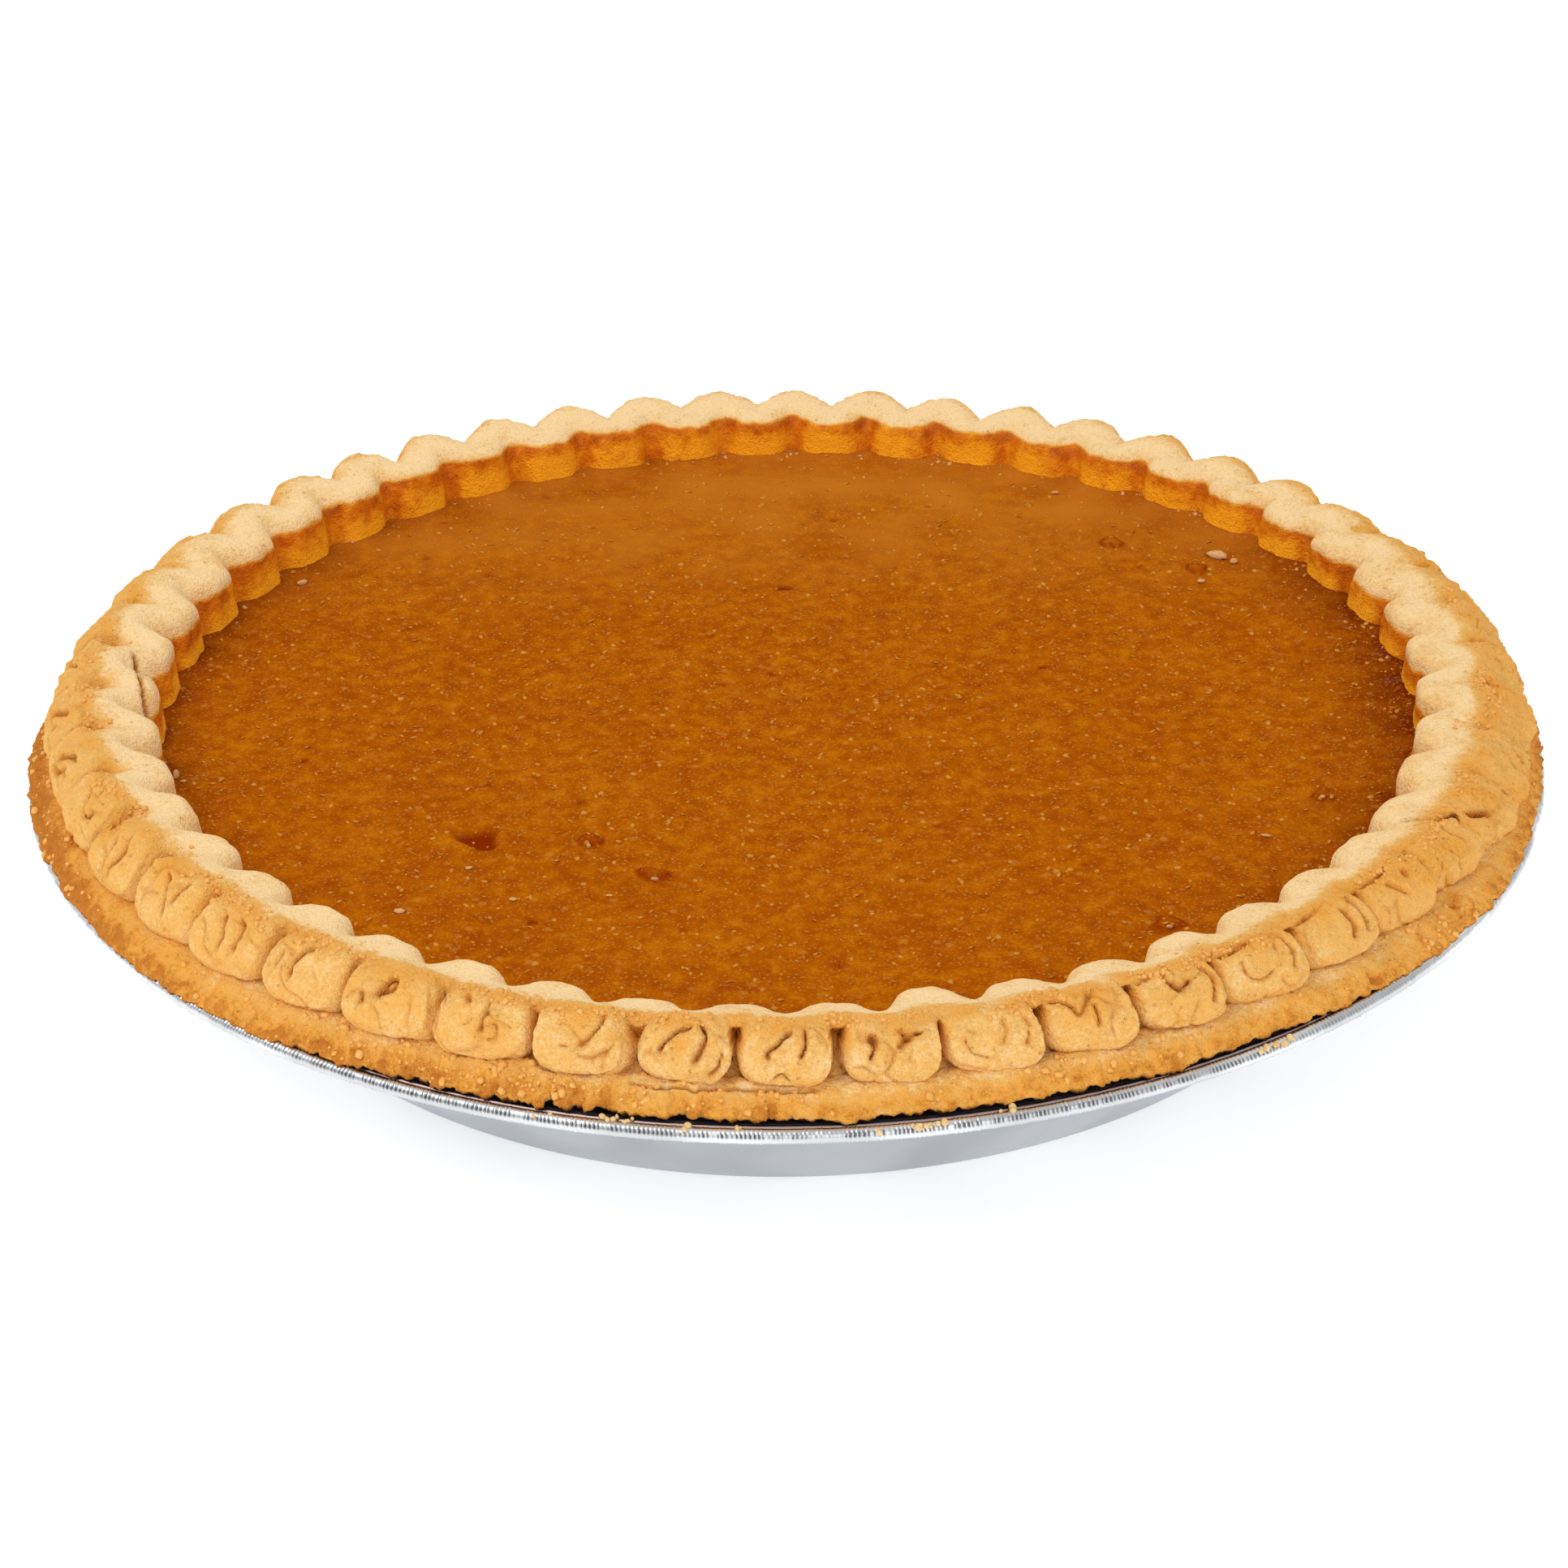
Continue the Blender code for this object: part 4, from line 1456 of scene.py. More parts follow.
@dataclass
class Filling:
    """The custard: a gently uneven disc that turns up where it meets the crust's wall.

    Lengths other than the rim and the level are in millimetres.
    """

    fluting: Fluting
    level: float
    material: bpy.types.Material
    columns: int = 720
    rows: int = 126
    lobe_inward: float = 21.9
    notch_inward: float = 18.6
    rise: float = 0.7
    rise_width: float = 2.4
    dome: float = 0.5
    foot: float = 2.0
    seed: int = 23

    def build(self) -> bpy.types.Object:
        """Make the custard.

        Returns:
            The piece.
        """
        phase = np.arange(self.columns) / self.columns * self.fluting.pads
        angle = self.fluting.angle(phase)
        wave = np.abs(np.cos(math.pi * phase)) ** 6
        border = self.fluting.rim - (self.lobe_inward * (1 - wave) + self.notch_inward * wave) * MM
        border += (self.fluting.swell(angle) + self.fluting.thinning(angle)) * MM
        back = 0.5 - 0.5 * np.cos(angle[None, :])
        share = np.linspace(0, 1, self.rows + 1)[1:] ** 0.94
        plain = share[:, None] * border.mean()
        blend = ease(share, 0.80, 1.0)[:, None]
        radius = plain * (1 - blend) + share[:, None] * border[None, :] * blend
        points = ring_points(radius, 0 * radius, angle[None, :])
        x, y = points[..., 0] / MM, points[..., 1] / MM
        noise, fine = Noise(self.seed), Noise(self.seed + 1)
        rim_gap = (border[None, :] - radius) / MM
        height = self.dome * (1 - share[:, None] ** 2) - self.dome
        height = height + 0.30 * noise.layers(points, 30 * MM, 2) + 0.12 * noise.layers(points, 7 * MM)
        height += 0.045 * fine.layers(points, 1.8 * MM, 2)
        height += (self.rise + 0.7 * back**2) * np.exp(-rim_gap / self.rise_width)
        height += 0.18 * bump(rim_gap - 8, 3) * noise.layers(points, 12 * MM)
        # mark is painted shade in pits, blister rings and pinholes plus the real stain spots; edge is painted shade
        # near the crust's wall, stronger towards the sides and the right, weaker at the back
        mark, edge = np.zeros_like(height), 0.0 * height
        sides = np.sin(angle[None, :]) ** 2
        edge += 0.8 * ease(rim_gap, 3.0, 0.2) + (0.15 + 0.35 * sides) * ease(rim_gap, 9, 2)
        edge += 0.30 * ease(x, 60, 95) * ease(rim_gap, 24, 4)
        edge *= 1 - 0.6 * back**2
        # Painted sheen: the far side turns lighter
        far_side_sheen = 0.75 * ease(y, 25, 95) * (0.8 + 0.8 * noise.at(points, 12 * MM))
        edge += 0.45 * sides * ease(rim_gap, 22, 3) * (0.5 + noise.at(points, 18 * MM))
        shine = 0.35 * back**3 * ease(rim_gap, 7, 1) * ease(noise.at(points, 3 * MM), 0.1, 0.4)
        glint = back**4 * wave * bump(rim_gap - 1.4, 1.1)
        self._add_spots(x, y, height, mark)
        self._add_small_spots(x, y, height, mark)
        points[..., 2] = self.level + height * MM
        under = ring_points(
            np.stack([border - 0.2 * MM, border * 0.5]), np.full((2, 1), self.level - self.foot * MM), angle[None, :]
        )
        sheet = np.concatenate([points, under])
        pad = np.zeros((2, self.columns))
        marks = {
            name: np.concatenate([values, pad])
            for name, values in (
                (Mark.CREASE, mark), (Mark.EDGE, edge), (Mark.TOAST, far_side_sheen),
                (Mark.STAIN, shine), (Mark.DENSITY, glint),
            )
        }
        mesh = Sheet(sheet, marks, looped=False).mesh("custard_filling")
        return add_piece("custard_filling", mesh, self.material)

    @staticmethod
    def _add_spots(x: np.ndarray, y: np.ndarray, height: np.ndarray, mark: np.ndarray) -> None:
        """Press the named blemishes into the height and mark their colour: painted shade in pits and round blisters,
        and real stain spots.
        """
        for spot in SPOTS:
            along = np.array(spot.place) / np.hypot(*spot.place)
            du, dv = x - spot.place[0], y - spot.place[1]
            radial = du * along[0] + dv * along[1]
            around = -du * along[1] + dv * along[0]
            near = np.hypot(radial, around / spot.stretch) / spot.width + 0.16 * np.sin(
                3 * np.arctan2(around, radial) + spot.place[0]
            )
            cover = ease(near, 1.15, 0.55)
            lip = bump(near - 1.35, 0.28)
            if spot.kind is Blemish.PIT:
                height += -spot.depth * cover + 0.35 * spot.depth * lip
                mark += 1.2 * cover
            elif spot.kind is Blemish.BLISTER:
                height += spot.depth * np.sqrt(np.clip(1 - near**2, 0, 1)) - 0.35 * spot.depth * lip
                mark += 0.9 * bump(near - 0.95, 0.25) + 0.15 * cover
            else:
                mark += cover

    def _add_small_spots(self, x: np.ndarray, y: np.ndarray, height: np.ndarray, mark: np.ndarray) -> None:
        """Scatter small pinholes and bumps over the custard, with painted shade in the pinholes."""
        dice = np.random.default_rng(self.seed)
        reach = (self.fluting.rim / MM - self.lobe_inward) - 3
        for _ in range(150):
            radius = reach * math.sqrt(dice.random())
            turn = dice.uniform(0, 2 * math.pi)
            place = (radius * math.sin(turn), -radius * math.cos(turn))
            width = dice.uniform(0.45, 1.1)
            near = np.hypot(x - place[0], y - place[1]) / width
            close = near < 2
            sign = 1 if dice.random() < 0.6 else -1
            height[close] += sign * 0.28 * width * ease(near[close], 1.2, 0.2)
            if sign < 0:
                mark[close] += 0.6 * ease(near[close], 1.1, 0.4)


# ---------------------------------------------------------------------------------------------
# The foil tin


@dataclass
class Tin:
    """The foil tin: base, sloping side with soft panels, flat flange and crimped rolled rim.

    Lengths other than the rim are in millimetres.
    """

    fluting: Fluting
    body_finish: bpy.types.Material
    rim_finish: bpy.types.Material
    base_radius: float = 94.7
    mouth_radius: float = 117.2
    flange: float = 28.4
    foil: float = 0.3
    corner: float = 2.5
    bead: float = 1.2
    panels: int = 32
    panel_depth: float = 0.55
    crimps: int = 1200
    crimp_depth: float = 0.16
    body_columns: int = 480
    bead_rows: int = 16
    seed: int = 5

    def corner_arc(self, inset: float, steps: int = 6) -> list[tuple[float, float]]:
        """The rounded corner between base and side.

        Args:
            inset: How far inside the outer face it runs.
            steps: How many steps it has.

        Returns:
            Its points as (radius, height).
        """
        lean = math.atan2(self.flange, self.mouth_radius - self.base_radius)
        radius = self.corner + self.foil - inset
        centre = (self.base_radius - (self.corner + self.foil) * math.tan(lean / 2), self.corner + self.foil)
        angles = np.linspace(-math.pi / 2, lean - math.pi / 2, steps + 1)
        return [(centre[0] + radius * math.cos(a), centre[1] + radius * math.sin(a)) for a in angles]

    def build(self) -> list[bpy.types.Object]:
        """Make the body and the rim.

        Returns:
            The two pieces.
        """
        return [self.build_body(), self.build_rim()]

    def flared(self, mesh: bpy.types.Mesh) -> bpy.types.Mesh:
        """Bend the flange and the rim outwards where the tin has been pulled wider.

        Args:
            mesh: A piece of the tin, which is changed.

        Returns:
            The same mesh.
        """
        points = np.empty(3 * len(mesh.vertices), np.float32)
        mesh.vertices.foreach_get("co", points)
        points = points.reshape(-1, 3)
        radius = np.maximum(np.hypot(points[:, 0], points[:, 1]), 1e-6)
        flare = self.fluting.flare(np.arctan2(points[:, 0], -points[:, 1])) * MM
        flare *= ease(radius / MM, self.mouth_radius + 1, self.fluting.rim / MM - 3)
        points[:, :2] *= (1 + flare / radius)[:, None]
        mesh.vertices.foreach_set("co", points.ravel())
        mesh.update()
        return mesh

    def build_body(self) -> bpy.types.Object:
        """The base, the side and the flange, turned into soft panels by a node tree."""
        rim = self.fluting.rim / MM
        top = self.flange + self.foil
        side_in = [(self.base_radius + (self.mouth_radius - self.base_radius) * s, self.foil + (top - self.foil) * s)
                   for s in np.linspace(0.15, 0.95, 9)]
        inner = [(60.0, self.foil)] + self.corner_arc(self.foil) + side_in
        outer = [(r + self.foil, z - 0.1) for r, z in reversed(side_in)]
        flange = [(self.mouth_radius - 0.3, top - 0.4), (self.mouth_radius + 0.4, top)]
        flange += [(rim - 6.0, top), (rim - 4.4, top + 0.1), (rim - 3.4, top + 0.4), (rim - 2.4, top + 0.8)]
        flange += [(rim - 2.4, top - 0.2), (rim - 4.4, self.flange), (self.mouth_radius + 0.5, self.flange)]
        line = np.array(inner + flange + outer + self.corner_arc(0.0)[::-1] + [(60.0, 0.0)])
        angle = np.arange(self.body_columns) / self.body_columns * 2 * math.pi
        points = ring_points(line[:, :1] * MM, line[:, 1:] * MM, angle[None, :])
        on_flange = ((line[:, 0] > self.mouth_radius + 0.3) & (line[:, 1] > self.flange))[:, None]
        turn = (angle + math.pi) % (2 * math.pi) - math.pi
        spread = Noise(self.seed).layers(ring_points(np.full_like(angle, rim * MM), 0 * angle, angle), 24 * MM, 2)
        # Where the flange goes soot dark, as burnt juice and as painted shadow under the skirt's edge, strongest in
        # front
        burnt_and_shaded = ease(spread + 0.9 * bump(turn, math.radians(55)) - 0.2, 0.0, 0.35)
        near_bead = ease(line[:, :1], rim - 4.6, rim - 3.2)
        # The stain mark here is a painted reflection of the crust on the flange next to the bead
        marks = {
            Mark.CHAR: on_flange * burnt_and_shaded[None, :] * (1 - near_bead),
            Mark.STAIN: on_flange * near_bead * (0.4 + 0.6 * burnt_and_shaded[None, :]),
        }
        host = Sheet(points, marks, looped=False).mesh("tin_body_host")

        tree = Growth("tin_body")
        panels = tree.size("Panels", self.panels)
        depth = tree.size("Panel depth", self.panel_depth * MM)
        low = tree.size("Panel foot", 3.0 * MM)
        high = tree.size("Panel top", (self.flange - 1.0) * MM)
        place = tree.node("GeometryNodeInputPosition")
        split = tree.node("ShaderNodeSeparateXYZ", None, {0: place}, "X")
        bearing = tree.node("ShaderNodeMath", {"operation": "ARCTAN2"}, {0: split, 1: split.other("Y")})
        phase = bearing * panels * (0.5 / math.pi)
        number = tree.node("ShaderNodeMath", {"operation": "FLOOR"}, {0: phase})
        pick = {"Min_001": 0.4, "Max_001": 1.3, "ID": number, "Seed": self.seed}
        strength = tree.node("FunctionNodeRandomValue", {"data_type": "FLOAT"}, pick, "Value_001")
        wave = tree.node("ShaderNodeMath", {"operation": "SINE"}, {0: phase * math.pi})
        wave = tree.node("ShaderNodeMath", {"operation": "ABSOLUTE"}, {0: wave}) ** 0.7
        rise = split.other("Z")
        ramp = {"Value": rise, "From Min": low, "From Max": low + 3 * MM}
        fade = tree.node("ShaderNodeMapRange", {"interpolation_type": "SMOOTHSTEP"}, ramp)
        ramp = {"Value": rise, "From Min": high - 3 * MM, "From Max": high, "To Min": 1.0, "To Max": 0.0}
        fade = fade * tree.node("ShaderNodeMapRange", {"interpolation_type": "SMOOTHSTEP"}, ramp)
        push = (wave - 0.6) * strength * depth * fade
        outward = tree.vector_math("NORMALIZE", tree.vector_math("MULTIPLY", place, (1.0, 1.0, 0.0)))
        shift = tree.node("ShaderNodeVectorMath", {"operation": "SCALE"}, {0: outward, "Scale": push})
        moved = tree.node("GeometryNodeSetPosition", None, {"Geometry": tree.start, "Offset": shift})
        mesh = self.flared(tree.grow(moved, self.body_finish, host))
        return add_piece("tin_body", mesh, self.body_finish)

    def build_rim(self) -> bpy.types.Object:
        """The rolled bead, crimped by a node tree."""
        columns = self.crimps * 4
        angle = np.arange(columns) / columns * 2 * math.pi
        centre = (self.fluting.rim / MM - self.bead, self.flange + self.foil)
        around = np.linspace(math.radians(200), math.radians(-160), self.bead_rows, endpoint=False)
        radius = centre[0] + self.bead * np.cos(around)
        height = centre[1] + self.bead * np.sin(around)
        points = ring_points(radius[:, None] * MM, height[:, None] * MM, angle[None, :])
        zero = np.zeros(points.shape[:2])
        # Painted reflection of the crust on the bead's inner side
        inner = 0.9 * ease(np.cos(around), -0.1, -0.6)[:, None] + zero
        host = Sheet(points, {Mark.CHAR: zero, Mark.STAIN: inner}).mesh("tin_rim_host")

        tree = Growth("tin_rim")
        crimps = tree.size("Crimps", self.crimps)
        depth = tree.size("Crimp depth", self.crimp_depth * MM)
        middle = tree.size("Bead radius", centre[0] * MM)
        place = tree.node("GeometryNodeInputPosition")
        split = tree.node("ShaderNodeSeparateXYZ", None, {0: place}, "X")
        bearing = tree.node("ShaderNodeMath", {"operation": "ARCTAN2"}, {0: split, 1: split.other("Y")})
        wobble = tree.node("ShaderNodeTexNoise", None, {"Vector": place, "Scale": 160.0, "Detail": 2.0}, "Fac")
        phase = bearing * crimps * (0.5 / math.pi) + wobble * 2.2
        number = tree.node("ShaderNodeMath", {"operation": "FLOOR"}, {0: phase})
        pick = {"Min_001": 0.15, "Max_001": 1.0, "ID": number, "Seed": self.seed}
        strength = tree.node("FunctionNodeRandomValue", {"data_type": "FLOAT"}, pick, "Value_001")
        wave = tree.node("ShaderNodeMath", {"operation": "FRACT"}, {0: phase})
        dip = (1.0 - tree.node("ShaderNodeMath", {"operation": "ABSOLUTE"}, {0: wave * 2.0 - 1.0})) ** 1.5
        outward = tree.vector_math("NORMALIZE", tree.vector_math("MULTIPLY", place, (1.0, 1.0, 0.0)))
        spine = tree.node("ShaderNodeVectorMath", {"operation": "SCALE"}, {0: outward, "Scale": middle})
        spine = tree.vector_math("ADD", spine, (0.0, 0.0, centre[1] * MM))
        away = tree.vector_math("NORMALIZE", tree.vector_math("SUBTRACT", place, spine))
        push = (dip * strength - 0.8) * depth
        group = tree.node("ShaderNodeTexNoise", None, {"Vector": place, "Scale": 110.0, "Detail": 1.0}, "Fac")
        tilt = tree.node("ShaderNodeSeparateXYZ", None, {0: away}, "Z")
        facing = tilt.ease(0.0, 0.35) * tilt.ease(0.95, 0.75)
        front = split.other("Y").ease(-0.085, -0.115) * 0.75 + 0.25
        shift = tree.node("ShaderNodeVectorMath", {"operation": "SCALE"}, {0: away, "Scale": push})
        moved = tree.node("GeometryNodeSetPosition", None, {"Geometry": tree.start, "Offset": shift})
        # Painted shade in the crimps' grooves, on the upper face and mostly in front; it is stored as the crease
        # mark
        groove = (1.3 - dip * 1.6).clamp() * (strength * 2.2 - 0.2).clamp() * group.ease(0.20, 0.40)
        groove = groove * facing * front
        store = {"Geometry": moved, "Name": Mark.CREASE.value, "Value": groove}
        stored = tree.node("GeometryNodeStoreNamedAttribute", {"data_type": "FLOAT", "domain": "POINT"}, store)
        mesh = self.flared(tree.grow(stored, self.rim_finish, host))
        return add_piece("tin_rim", mesh, self.rim_finish)


# ---------------------------------------------------------------------------------------------
# Loose things


@dataclass
class Scatter:
    """Small lumps strewn over a mesh by a node tree."""

    name: str
    material: bpy.types.Material
    slot: Slot
    amount: float
    least: float
    most: float
    flatness: float = 0.6
    detail: int = 1
    seed: int = 1
    spread: Optional[Mark] = None

    def build(self, ground: bpy.types.Mesh) -> bpy.types.Object:
        """Strew the lumps.

        Args:
            ground: The mesh that they lie on.

        Returns:
            The piece, all lumps in one.
        """
        tree = Growth(self.name)
        amount = tree.size("Lumps per square metre", float(self.amount))
        least = tree.size("Least size", self.least)
        most = tree.size("Greatest size", self.most)
        density: Feed = amount
        if self.spread:
            mark = tree.node(
                "GeometryNodeInputNamedAttribute", {"data_type": "FLOAT"}, {"Name": self.spread.value}, 0
            )
            density = mark * amount
        sockets = {"Mesh": tree.start, "Density": density, "Seed": self.seed}
        points = tree.node("GeometryNodeDistributePointsOnFaces", {"distribute_method": "RANDOM"}, sockets, "Points")
        ball = tree.node("GeometryNodeMeshIcoSphere", None, {"Radius": 0.5, "Subdivisions": self.detail})
        where = tree.node("GeometryNodeInputPosition")
        sway = tree.node("ShaderNodeTexNoise", None, {"Vector": where, "Scale": 1.7, "Detail": 2.0}, "Color")
        sway = tree.vector_math("SUBTRACT", sway, (0.5, 0.5, 0.5))
        sway = tree.node("ShaderNodeVectorMath", {"operation": "SCALE"}, {0: sway, "Scale": 0.9})
        lump = tree.node("GeometryNodeSetPosition", None, {"Geometry": ball, "Offset": sway})
        spin = tree.random((0.0, 0.0, 0.0), (0.5, 0.5, 6.28), self.seed + 1, "FLOAT_VECTOR")
        lean = points.other("Rotation")
        turned = tree.node(
            "FunctionNodeRotateRotation", {"rotation_space": "LOCAL"}, {"Rotation": lean, "Rotate By": spin}
        )
        draw = tree.random(0.0, 1.0, self.seed + 2) ** 2.2
        size = least + (most - least) * draw
        shape = tree.random((0.7, 0.7, self.flatness * 0.8), (1.3, 1.1, self.flatness * 1.2), self.seed + 3, "FLOAT_VECTOR")
        scale = tree.node("ShaderNodeVectorMath", {"operation": "SCALE"}, {0: shape, "Scale": size})
        sockets = {"Points": points, "Instance": lump, "Rotation": turned, "Scale": scale}
        strewn = tree.node("GeometryNodeInstanceOnPoints", None, sockets)
        mesh = tree.grow(strewn, self.material, ground)
        mesh.shade_smooth()
        return add_piece(self.name, mesh, self.material)


@dataclass(frozen=True)
class Flake:
    """One loose bit on the custard: where it lies, its length, width and height, and its turn.

    All but the turn, which is in degrees, is in millimetres.
    """

    place: tuple[float, float]
    size: tuple[float, float, float]
    turn: float = 0.0


# Loose crumbs on the custard; the small pale bits at the blisters' feet and at (50.0, 86.4) and (76.7, -46.5) are
# painted highlights
CUSTARD_FLAKES_AND_GLINTS = (
    Flake((78.2, 57.7), (4.2, 2.0, 1.6), -35),
    Flake((81.0, 55.2), (1.6, 1.2, 1.0), 10),
    Flake((74.4, 47.1), (1.7, 1.1, 0.8), 20),
    Flake((-101.3, -24.1), (1.6, 0.4, 2.2), 60),
    Flake((-99.9, -25.6), (1.0, 0.4, 0.4), 10),
    Flake((-89.2, 49.6), (2.0, 1.1, 0.9), 30),
    Flake((50.0, 86.4), (1.5, 0.6, 0.5), 0),
    Flake((76.7, -46.5), (1.8, 0.5, 0.4), -15),
    Flake((-31.6, -48.5), (0.7, 0.4, 0.9), 0),
    Flake((-20.7, -59.2), (1.3, 0.4, 0.8), 10),
    Flake((-50.3, -55.0), (1.3, 0.9, 0.3), 20),
    Flake((-42.5, -64.9), (1.3, 0.8, 0.4), -10),
    Flake((-27.6, -64.0), (1.2, 0.5, 0.3), 0),
    Flake((-60.1, -68.4), (1.8, 1.4, 0.5), 0),
    Flake((87.2, -34.0), (0.9, 0.5, 0.7), 0),
    Flake((59.1, -74.8), (1.0, 0.5, 0.7), 0),
)


# Heaps of crumbs on the tin's rim: where, how many and how far they spread in millimetres
RIM_HEAPS = (
    ((-23.7, -123.1), 9, 1.6), ((20.4, -125.1), 9, 1.6), ((73.4, -103.8), 12, 2.2), ((32.2, -121.3), 3, 0.8),
    ((-13.4, -124.9), 2, 0.6), ((-6.8, -125.6), 2, 0.5), ((12.9, -126.3), 2, 0.5), ((-35.0, -121.0), 2, 0.8),
)


def heap_flakes(seed: int = 23) -> list[Flake]:
    """The single crumbs of the heaps on the rim."""
    dice = np.random.default_rng(seed)
    flakes = []
    for middle, count, spread in RIM_HEAPS:
        along = np.array([-middle[1], middle[0]]) / np.hypot(*middle)
        for _ in range(count):
            place = middle + along * dice.normal(0, spread) + dice.normal(0, 0.35, 2)
            size = dice.uniform(0.5, 1.3) * dice.uniform(0.7, 1.0, 3)
            flakes.append(Flake(tuple(place), tuple(size), dice.uniform(0, 180)))
    return flakes



def build_flakes(
    name: str, flakes: Sequence[Flake], level: float, material: bpy.types.Material
) -> bpy.types.Object:
    """Loose bits that lie at one height, all in one mesh.

    Args:
        name: The piece's name.
        flakes: The bits.
        level: The height that they lie at.
        material: Their finish.

    Returns:
        The piece.
    """
    ball = bpy.data.meshes.new("flake_ball")
    shaper = bmesh.new()
    bmesh.ops.create_icosphere(shaper, subdivisions=2, radius=0.5)
    shaper.to_mesh(ball)
    shaper.free()
    base = np.array([corner.co[:] for corner in ball.vertices])
    corners = [list(face.vertices) for face in ball.polygons]
    noise = Noise(41)
    points: list[list[float]] = []
    faces: list[list[int]] = []
    for flake in flakes:
        rough = base * (1 + 0.45 * noise.layers(base + len(points), 0.55)[:, None])
        shape = rough * flake.size
        turn = math.radians(flake.turn)
        x = shape[:, 0] * math.cos(turn) - shape[:, 1] * math.sin(turn) + flake.place[0]
        y = shape[:, 0] * math.sin(turn) + shape[:, 1] * math.cos(turn) + flake.place[1]
        z = shape[:, 2] + 0.15 * flake.size[2] + level / MM - 0.1
        faces += [[corner + len(points) for corner in face] for face in corners]
        points += (np.stack([x, y, z], -1) * MM).tolist()
    mesh = bpy.data.meshes.new(name)
    mesh.from_pydata(points, [], faces)
    mesh.shade_smooth()
    return add_piece(name, mesh, material)


# ---------------------------------------------------------------------------------------------
# The studio


@dataclass
class Studio:
    """A pale floor, soft lights and a camera that looks down on the front of the pie."""

    distance: float = 0.67583
    elevation: float = 29.997
    azimuth: float = 0.8486
    aim: tuple[float, float, float] = (-0.00104, 0.00752, 0.01302)
    roll: float = -0.8911
    lens: float = 88.70
    sensor: float = 36.0
    floor_size: float = 6.0
    glow: float = 0.47

    def build(self) -> None:
        """Make the floor, the lights and the camera."""
        self.add_floor()
        self.add_world()
        self.add_lamp("key_light", (-0.55, -0.35, 0.95), 0.8, 3.8)
        self.add_lamp("front_light", (0.35, -1.1, 0.55), 0.9, 2.6)
        self.add_lamp("back_light", (0.1, 1.1, 0.55), 0.6, 1.4)
        self.add_camera()
        bpy.context.scene.view_settings.view_transform = "Standard"

    def add_floor(self) -> None:
        """The plain pale floor."""
        paint = Surface("studio_floor", roughness=0.9, base_color=(0.93, 0.93, 0.93))
        paint.set("Emission Color", (1.0, 1.0, 1.0))
        paint.set("Emission Strength", self.glow)
        half = self.floor_size / 2
        corners = [(-half, -half, 0), (half, -half, 0), (half, half, 0), (-half, half, 0)]
        mesh = bpy.data.meshes.new("studio_floor")
        mesh.from_pydata(corners, [], [(0, 1, 2, 3)])
        mesh.materials.append(paint.material)
        floor = bpy.data.objects.new("studio_floor", mesh)
        bpy.context.scene.collection.objects.link(floor)

    @staticmethod
    def add_world() -> None:
        """A white surround."""
        world = bpy.data.worlds.new("studio")
        world.use_nodes = True
        background = world.node_tree.nodes["Background"]
        background.inputs["Color"].default_value = (1.0, 1.0, 1.0, 1.0)
        background.inputs["Strength"].default_value = 0.78
        bpy.context.scene.world = world

    @staticmethod
    def add_lamp(name: str, place: tuple[float, float, float], size: float, power: float) -> None:
        """A square soft light that points at the pie.

        Args:
            name: The light's name.
            place: Where it hangs.
            size: The length of its side.
            power: Its power in watts.
        """
        lamp = bpy.data.lights.new(name, "AREA")
        lamp.size = size
        lamp.energy = power
        holder = bpy.data.objects.new(name, lamp)
        holder.location = place
        holder.rotation_euler = (-Vector(place)).to_track_quat("-Z", "Y").to_euler()
        bpy.context.scene.collection.objects.link(holder)

    def add_camera(self) -> None:
        """The camera."""
        turn = math.radians(self.azimuth)
        rise = math.radians(self.elevation)
        turned = Quaternion((0, 0, 1), turn)
        out = Vector((0.0, -math.cos(rise), math.sin(rise))) * self.distance
        place = turned @ out
        aim = turned @ Vector(self.aim)
        lens = bpy.data.cameras.new("camera")
        lens.lens = self.lens
        lens.sensor_width = self.sensor
        lens.clip_start = 0.05
        camera = bpy.data.objects.new("camera", lens)
        camera.location = place
        level = (aim - place).to_track_quat("-Z", "Y")
        camera.rotation_euler = (level @ Quaternion((0, 0, 1), math.radians(self.roll))).to_euler()
        bpy.context.scene.collection.objects.link(camera)
        bpy.context.scene.camera = camera


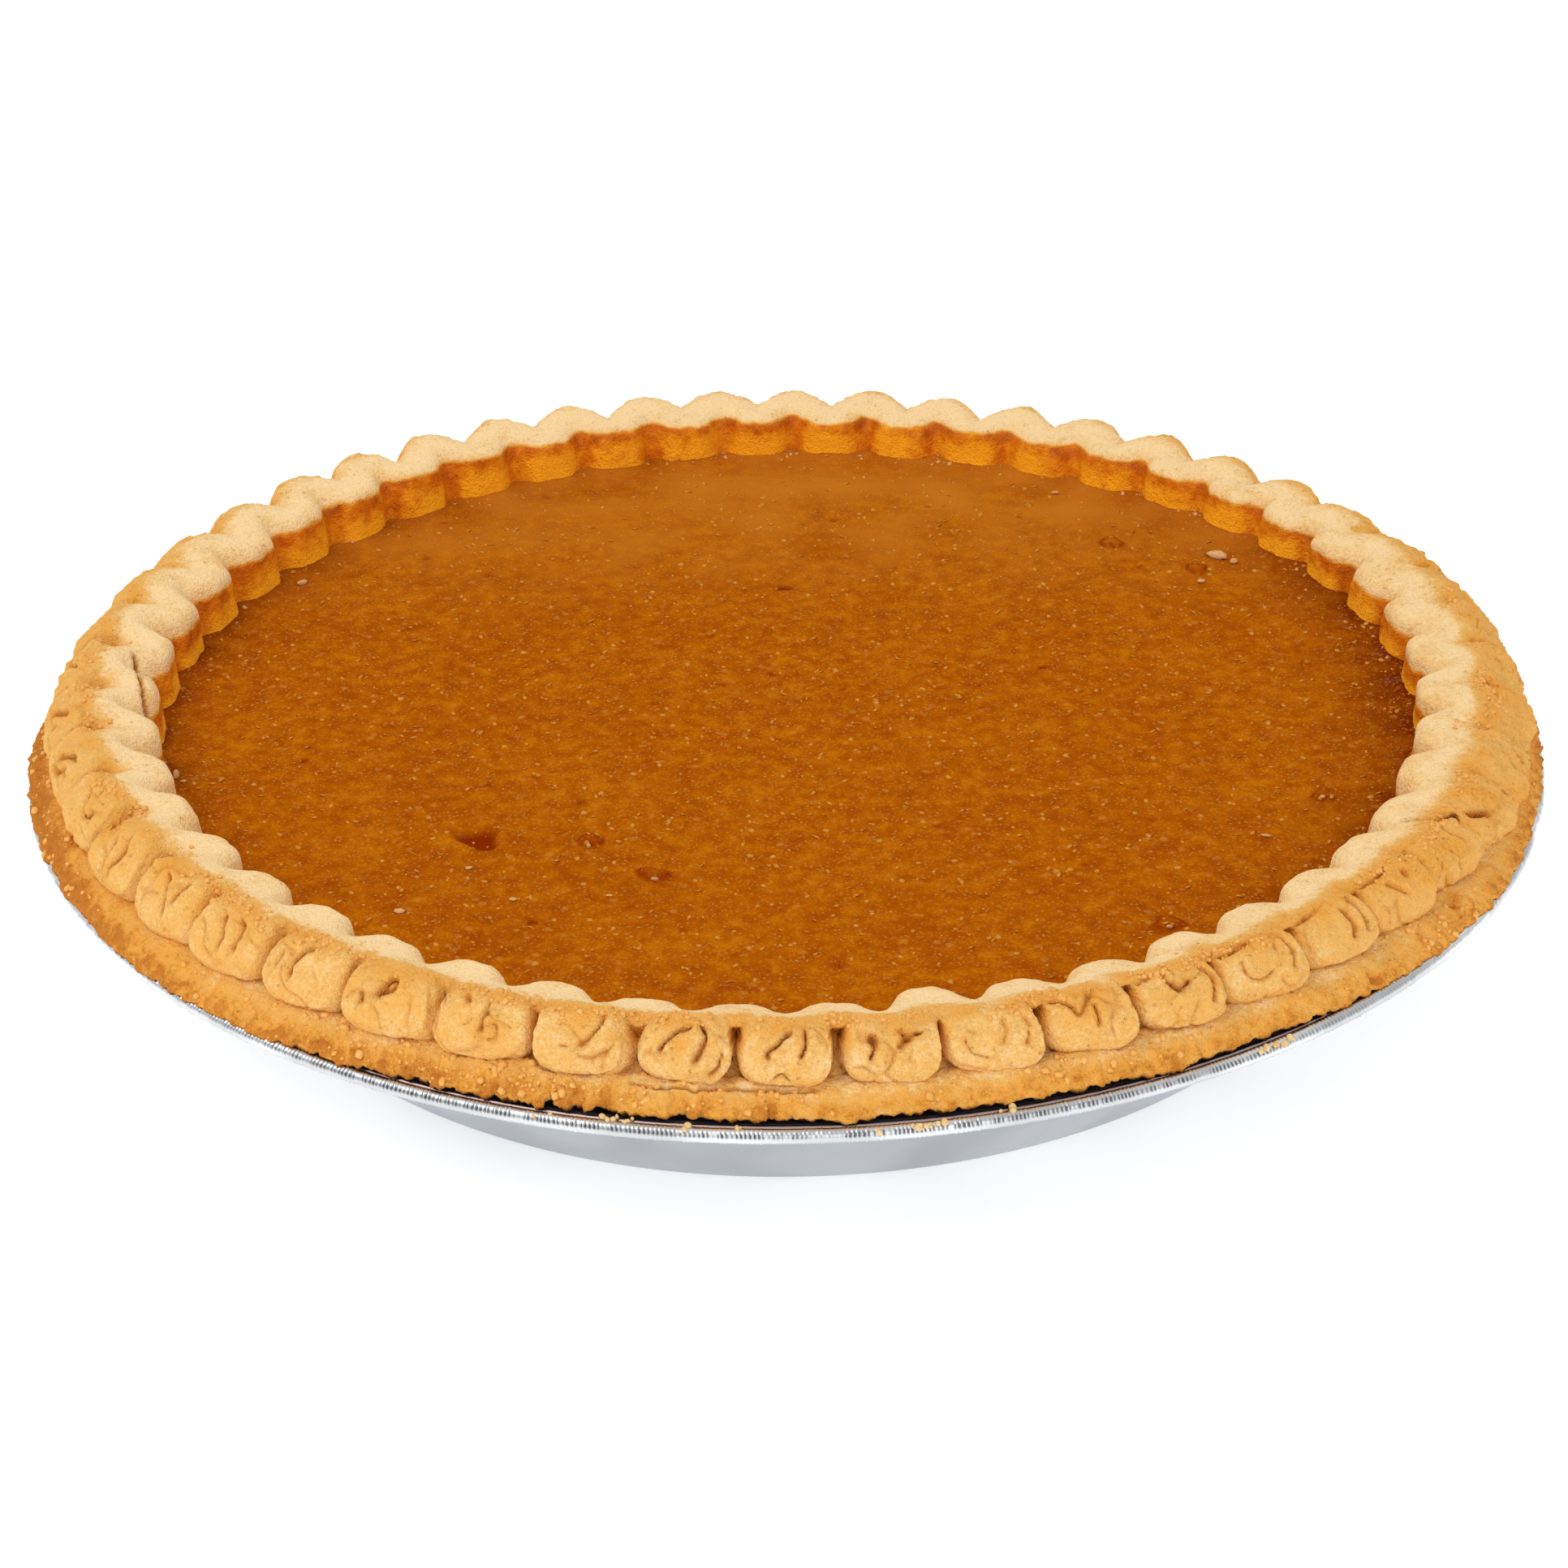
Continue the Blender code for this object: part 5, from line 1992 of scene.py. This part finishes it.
def main() -> None:
    """Build the pie and the studio round it."""
    logging.basicConfig(level=logging.INFO, format="%(name)s: %(message)s")
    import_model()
    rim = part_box("foil_tin")[1].x
    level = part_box("filling")[1].z - 0.7 * MM
    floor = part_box("crust")[0].z
    pastry = Pastry().material()
    fluting = Fluting(rim)
    crust = Crust(fluting, pastry)
    pieces = crust.build()
    pieces.append(build_shell(rim, level, floor, pastry))
    for piece in pieces:
        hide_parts("crust")
    filling = Filling(fluting, level, Custard().material()).build()
    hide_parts("filling")
    # Lit and shaded copies of one foil: the body's metal is darkened to stand for its dimmer reflection, and the
    # rim's is brighter for its highlights
    lit_foil = Foil(metal=(0.80, 0.81, 0.82), shaded_metal=(0.56, 0.57, 0.58), roughness=0.30)
    tin = Tin(fluting, Foil().material("pressed_foil"), lit_foil.material("crimped_foil"))
    for piece in tin.build():
        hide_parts("foil_tin")
    skirt = pieces[2]
    crumb = Plain("loose_crumb", (0.88, 0.50, 0.15), (0.76, 0.34, 0.06), 0.1).material()
    Scatter(
        "skirt_rubble", crumb, Slot.PASTRY, 600000, 0.4 * MM, 1.5 * MM, 0.8, spread=Mark.DENSITY, seed=3
    ).build(skirt.data.copy())
    for number, piece in enumerate(pieces[:2]):
        Scatter(
            f"ridge_crumbs_{number}", crumb, Slot.PASTRY, 2500000, 0.25 * MM, 1.2 * MM, 0.8,
            spread=Mark.DENSITY, seed=31 + number,
        ).build(piece.data.copy())
    speck = Plain("tan_speck", (0.68, 0.30, 0.055), (0.52, 0.18, 0.015), 0.0).material()
    Scatter("custard_specks", speck, Slot.CUSTARD, 130000, 0.3 * MM, 1.4 * MM, 0.22, seed=7).build(
        filling.data.copy()
    )
    pale = Plain("pale_glint", (0.74, 0.44, 0.20), (0.58, 0.26, 0.08), 0.2).material()
    Scatter("wall_glints", pale, Slot.CUSTARD, 800000, 0.3 * MM, 1.3 * MM, 0.4, seed=19, spread=Mark.DENSITY).build(
        filling.data.copy()
    )
    build_flakes("custard_flakes", CUSTARD_FLAKES_AND_GLINTS, level, pale)
    dry = Plain("dry_crumb", (0.86, 0.66, 0.36), (0.66, 0.42, 0.16), 0.1).material()
    build_flakes("rim_crumbs", heap_flakes(), (tin.flange + 1.4) * MM, dry)
    Studio().build()


if __name__ == "__main__":
    main()
